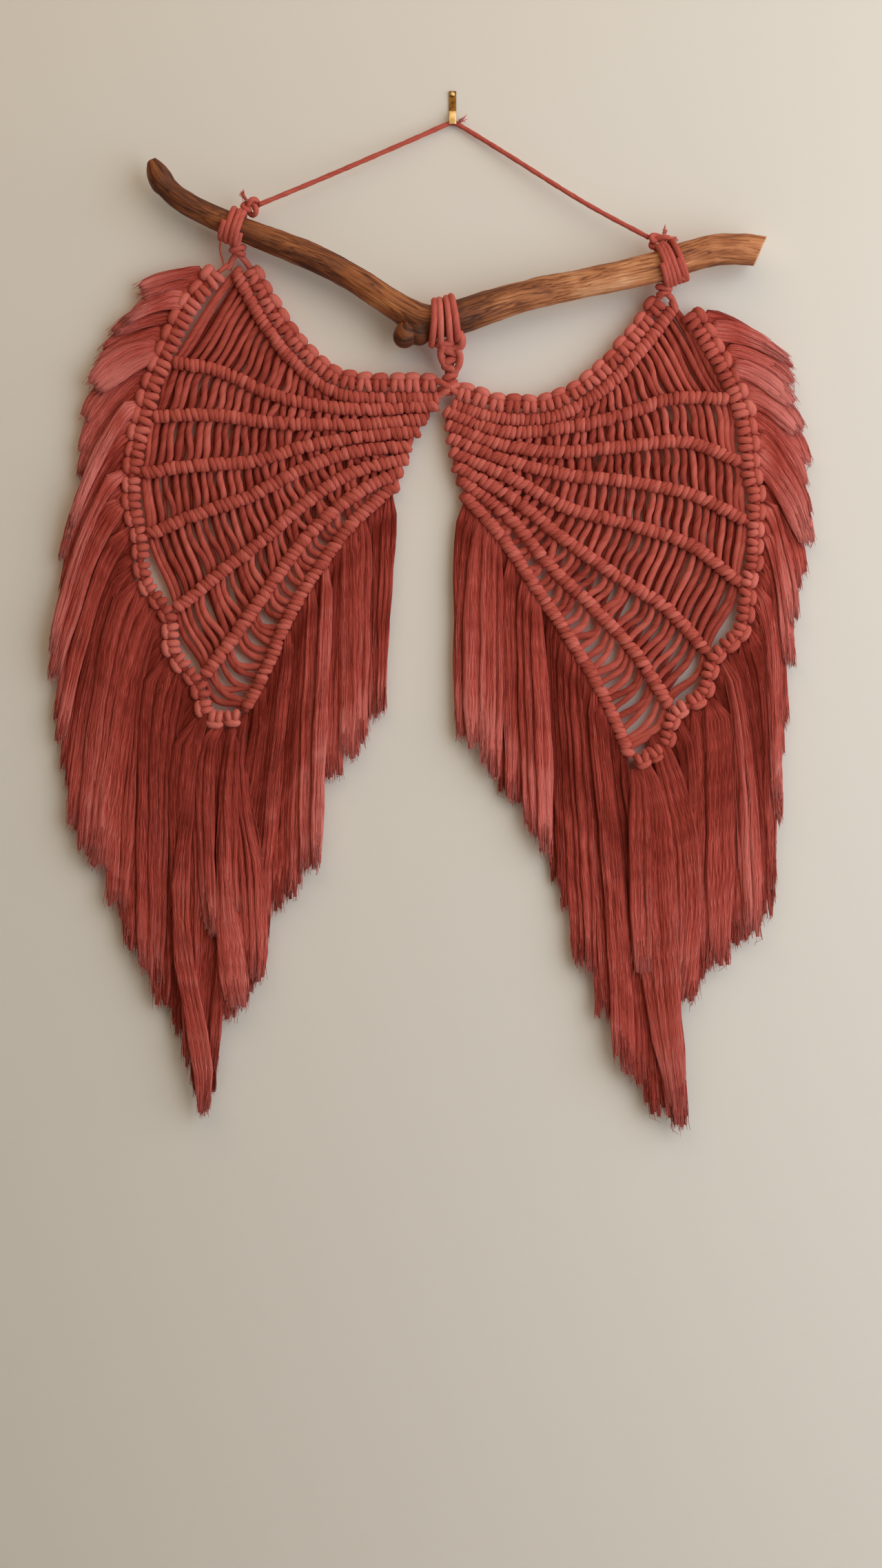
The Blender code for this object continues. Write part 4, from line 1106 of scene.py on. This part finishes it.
def buildCentreLoop():
    # four turns of cord over the branch, drawn together below it into a short twisted column
    work = CordWork()
    angles = turnsOf(30)
    for x, radius in ((-13.7, 2.6), (-8.3, 2.5), (-3.2, 2.5), (2.2, 2.6)):
        alongs = nearBranch(x) + 2.3 * np.cos(angles) * mm
        work.sweep(aroundBranch(alongs, angles, radius), radius * mm, 9, luck.uniform(0.5, 0.75),
                   branchLine.heading(nearBranch(x)), closed=True)
    addRun(work, [(4, -166, 27), (6.4, -171, 26), (5.6, -175.5, 23), (0, -177, 21), (-6, -175, 21)], 3.1, 0.6)
    addRing(work, -5.5, -173.5, 20.5, 5.2, 4.4, 2.6, lean=0.6, tone=0.6)
    addRing(work, -2.0, -179, 17.5, 5.0, 4.0, 2.8, lean=-1.6, tone=0.62)
    addRing(work, -1.6, -184.5, 14.5, 4.8, 3.6, 2.8, lean=1.8, tone=0.55)
    addRing(work, -1.8, -190, 12.2, 4.2, 3.2, 2.7, lean=-1.4, tone=0.6)
    addRing(work, -2.0, -195.5, 10.8, 3.6, 2.8, 2.5, lean=1.2, tone=0.5)
    addRun(work, [(-7, -175, 25), (-8.8, -180, 21), (-7, -186, 17), (-3.5, -189, 14)], 2.6, 0.55)
    addRun(work, [(3.5, -178, 24), (5.2, -183, 20), (4.0, -189, 16), (0, -193, 13)], 2.6, 0.6)
    addRun(work, [(-1, -168, 24), (-2, -180, 16), (-2.4, -190, 12), (-2.6, -200, 9.5),
                  (-3.5, -209, 9)], 3.4, 0.3)
    # the cords that cross where the two necklines meet
    addRun(work, [(-15, -198, 9), (-10, -199.5, 12), (-4, -203, 13.5), (2, -207, 12), (7, -209, 9)], 2.4)
    addRun(work, [(6, -202, 9), (1, -202.5, 12.5), (-4, -206, 13), (-9, -209, 11), (-13, -211.5, 8.5)], 2.4)
    addRun(work, [(-10, -205, 8), (-6, -204, 12), (-1, -201, 12), (2, -198, 10)], 2.2)
    dress(work.make("centre_knots", knottedCotton), "centre_loop")


hanger = {
    "radius": 1.75,
    "seat": 3.1,            # depth of its middle where it lies in the hook
    # x, z, and how far between the hook's depth and the branch's
    "route": [(-140.1, -72.9, 1), (-90, -50.5, 0.6), (-30, -23, 0.2), (-6, -11.6, 0), (0, -9.8, 0),
              (6, -12.2, 0), (40, -34, 0.25), (95, -70, 0.65), (141.7, -96.7, 1)],
}


def buildHanger():
    farther = branch["depth"] - hanger["seat"]
    line = Line([spotAt(x, z, hanger["seat"] + farther * share) for x, z, share in hanger["route"]])
    t = np.linspace(0, line.length, 150)
    route = line.at(t)
    radii = hanger["radius"] * mm * (1 + 0.05 * np.sin(t / mm * 0.37) + 0.04 * np.sin(t / mm * 0.9 + 1))
    work = CordWork()
    work.sweep(route, radii, 10, 0.48)
    made = work.make("hanging_cord", knottedCotton)
    dress(made, "hanger_cord")
    work = CordWork()
    addFray(work, 3.5, -10.0, 4.5, (1, 0.35), 9, 7, 0.5)
    fray = work.make("cord_fray", combedCotton)
    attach(fray, "root")


buildTies()
buildCentreLoop()
buildHanger()
print("ties and hanging cord are on")


# wall hook

hook = {
    "width": 5.2,
    "thick": 0.8,
    "top": 14.0,
    "foot": -11.2,          # height of the middle of its bend
    "bend": 2.7,            # radius at the middle of the strip
    "lip": -2.0,
    "nail": 1.5,            # radius of the nail's head
}


def brassFinish(name, colour, tarnish):
    made, tree, shader = newFinish(name)
    place = addNode(tree, "ShaderNodeTexCoord")
    noise = addNode(tree, "ShaderNodeTexNoise", Scale=260.0, Detail=4.0)
    tree.links.new(place.outputs["Object"], noise.inputs["Vector"])
    stops = list(zip((0.35, 0.62), linear(tarnish, colour)))
    tree.links.new(fade(tree, noise.outputs["Fac"], stops), shader.inputs["Base Color"])
    shader.inputs["Metallic"].default_value = 1.0
    shader.inputs["Roughness"].default_value = 0.34
    return made


def chooseFoot(made):
    # the face that looks down, ready for editing
    bpy.ops.object.mode_set(mode="EDIT")
    bpy.ops.mesh.select_all(action="DESELECT")
    bpy.ops.mesh.select_mode(type="FACE")
    bpy.ops.object.mode_set(mode="OBJECT")
    for face in made.data.polygons:
        face.select = face.normal.z < -0.5
    bpy.ops.object.mode_set(mode="EDIT")


def roundEdges(width, segments=2):
    soften = bpy.context.object.modifiers.new("soften", "BEVEL")
    soften.width = width * mm
    soften.segments = segments
    soften.limit_method = "ANGLE"
    soften.angle_limit = math.radians(40)
    bpy.ops.object.modifier_apply(modifier="soften")
    bpy.ops.object.shade_smooth_by_angle(angle=math.radians(40))


def buildHook():
    # a strip: back plate, then spun round its foot and drawn up into the lip
    foot, thick = hook["foot"], hook["thick"]
    height = hook["top"] - foot
    bpy.ops.object.select_all(action="DESELECT")
    bpy.ops.mesh.primitive_cube_add(size=mm, location=(0, -thick / 2 * mm, (foot + height / 2) * mm))
    made = bpy.context.object
    made.name = "hook_strip"
    made.scale = (hook["width"], thick, height)
    applyAll()
    chooseFoot(made)
    bpy.ops.mesh.spin(steps=10, angle=-math.pi, axis=(1, 0, 0),
                      center=(0, -(thick / 2 + hook["bend"]) * mm, foot * mm))
    rise = (0, 0, (hook["lip"] - foot) * mm)
    bpy.ops.mesh.extrude_region_move(TRANSFORM_OT_translate={"value": rise})
    bpy.ops.mesh.select_all(action="SELECT")
    bpy.ops.mesh.normals_make_consistent(inside=False)
    bpy.ops.object.mode_set(mode="OBJECT")
    made.data.materials.append(brassFinish("paleBrass", "E6CFA0", "C9A76C"))
    made.data.materials.append(brassFinish("darkBrass", "8A6432", "5C3D1A"))
    # the back plate is darker than the bend and the lip
    for face in made.data.polygons:
        atBack = face.center.y > -(thick + 0.1) * mm
        face.material_index = int(atBack and face.center.z > foot * mm)
    roundEdges(0.18)
    dress(made, "wall_hook", slot="brass")

    x, z, depth = 0, hook["top"] - 2.6, thick + 1.0
    bpy.ops.object.select_all(action="DESELECT")
    bpy.ops.mesh.primitive_cylinder_add(vertices=20, radius=hook["nail"] * mm, depth=1.3 * mm,
                                        location=spotAt(x, z, depth), rotation=(math.radians(90), 0, 0))
    made = bpy.context.object
    made.name = "nail_head"
    applyAll()
    made.data.materials.append(brassFinish("brightBrass", "F0DCA8", "D9BC80"))
    roundEdges(0.45, 3)
    dress(made, "hook_nail", slot="brass")


buildHook()
print("hook is bent")


# stage, light and camera

studio = {                          # in metres, but for the picture's middle
    "distance": 2.0,                # camera to cloth
    "frameHeight": 1.138,           # of the picture, at the cloth
    "middle": (-8.5, -491.0),       # of the picture, x and z
    "floor": -1.25,
    "wall": "D3D0C8",
    "ground": "CFC9BF",
    "room": "F6F4F2",
    "seen": 0.6,                    # how bright the room looks, and the faint light that comes from it
    "fill": 0.02,
    # each light's place, the spot it faces, its size, watts and colour
    "lights": {
        "windowLight": ((1.2, -0.95, -0.15), (0.1, 0, -0.4), 2.2, 31, "F8FBFF"),
        "lampLight": ((-0.3, -1.2, 1.0), (-0.1, 0, -0.05), 2.3, 17.5, "FFE2BE"),
        "backLight": ((-0.6, 1.6, 0.3), (0, 0, -0.35), 1.6, 17, "FFF8F0"),
    },
}


def stagePlane(name, size, place, turn, colour, seeThroughBack=False):
    # a backdrop. One that is seen through from behind lets light through, so that the hanging's back is lit
    bpy.ops.mesh.primitive_plane_add(size=size, location=place, rotation=turn)
    made = bpy.context.object
    made.name = name
    finish, tree, shader = newFinish(name + "Paint")
    shader.inputs["Base Color"].default_value = (*linear(colour)[0], 1)
    shader.inputs["Roughness"].default_value = 0.95
    if seeThroughBack:
        clear = addNode(tree, "ShaderNodeBsdfTransparent")
        sides = addNode(tree, "ShaderNodeNewGeometry")
        rays = addNode(tree, "ShaderNodeLightPath")
        mix = addNode(tree, "ShaderNodeMixShader")
        through = mathNode(tree, "MAXIMUM", sides.outputs["Backfacing"], rays.outputs["Is Shadow Ray"])
        tree.links.new(through, mix.inputs[0])
        tree.links.new(shader.outputs[0], mix.inputs[1])
        tree.links.new(clear.outputs[0], mix.inputs[2])
        tree.links.new(mix.outputs[0], tree.nodes["Material Output"].inputs[0])
    made.data.materials.append(finish)


def addLight(name, place, aim, size, watts, colour):
    data = bpy.data.lights.new(name, "AREA")
    data.shape = "DISK"
    data.size = size
    data.energy = watts
    data.color = linear(colour)[0]
    made = bpy.data.objects.new(name, data)
    bpy.context.scene.collection.objects.link(made)
    made.location = place
    made.rotation_euler = (Vector(aim) - Vector(place)).to_track_quat("-Z", "Y").to_euler()


def buildStudio():
    stagePlane("wall", 9, (0, 0.0006, 1.0), (math.radians(90), 0, 0), studio["wall"], seeThroughBack=True)
    stagePlane("floor", 9, (0, 0, studio["floor"]), (0, 0, 0), studio["ground"])
    for name, values in studio["lights"].items():
        addLight(name, *values)
    world = bpy.data.worlds.new("room")
    world.use_nodes = True
    tree = world.node_tree
    background = tree.nodes["Background"]
    background.inputs[0].default_value = (*linear(studio["room"])[0], 1)
    rays = addNode(tree, "ShaderNodeLightPath")
    strength = mathNode(tree, "MULTIPLY_ADD", rays.outputs["Is Camera Ray"], studio["seen"], studio["fill"])
    tree.links.new(strength, background.inputs[1])
    bpy.context.scene.world = world
    lens = bpy.data.cameras.new("camera")
    lens.sensor_width = 36
    lens.lens = 36 * studio["distance"] / studio["frameHeight"]
    camera = bpy.data.objects.new("camera", lens)
    bpy.context.scene.collection.objects.link(camera)
    x, z = studio["middle"]
    camera.location = (x * mm, clothY - studio["distance"], z * mm)
    camera.rotation_euler = (math.radians(90), 0, 0)
    bpy.context.scene.camera = camera
    bpy.context.scene.view_settings.view_transform = "Standard"


buildStudio()
print("stage is set")
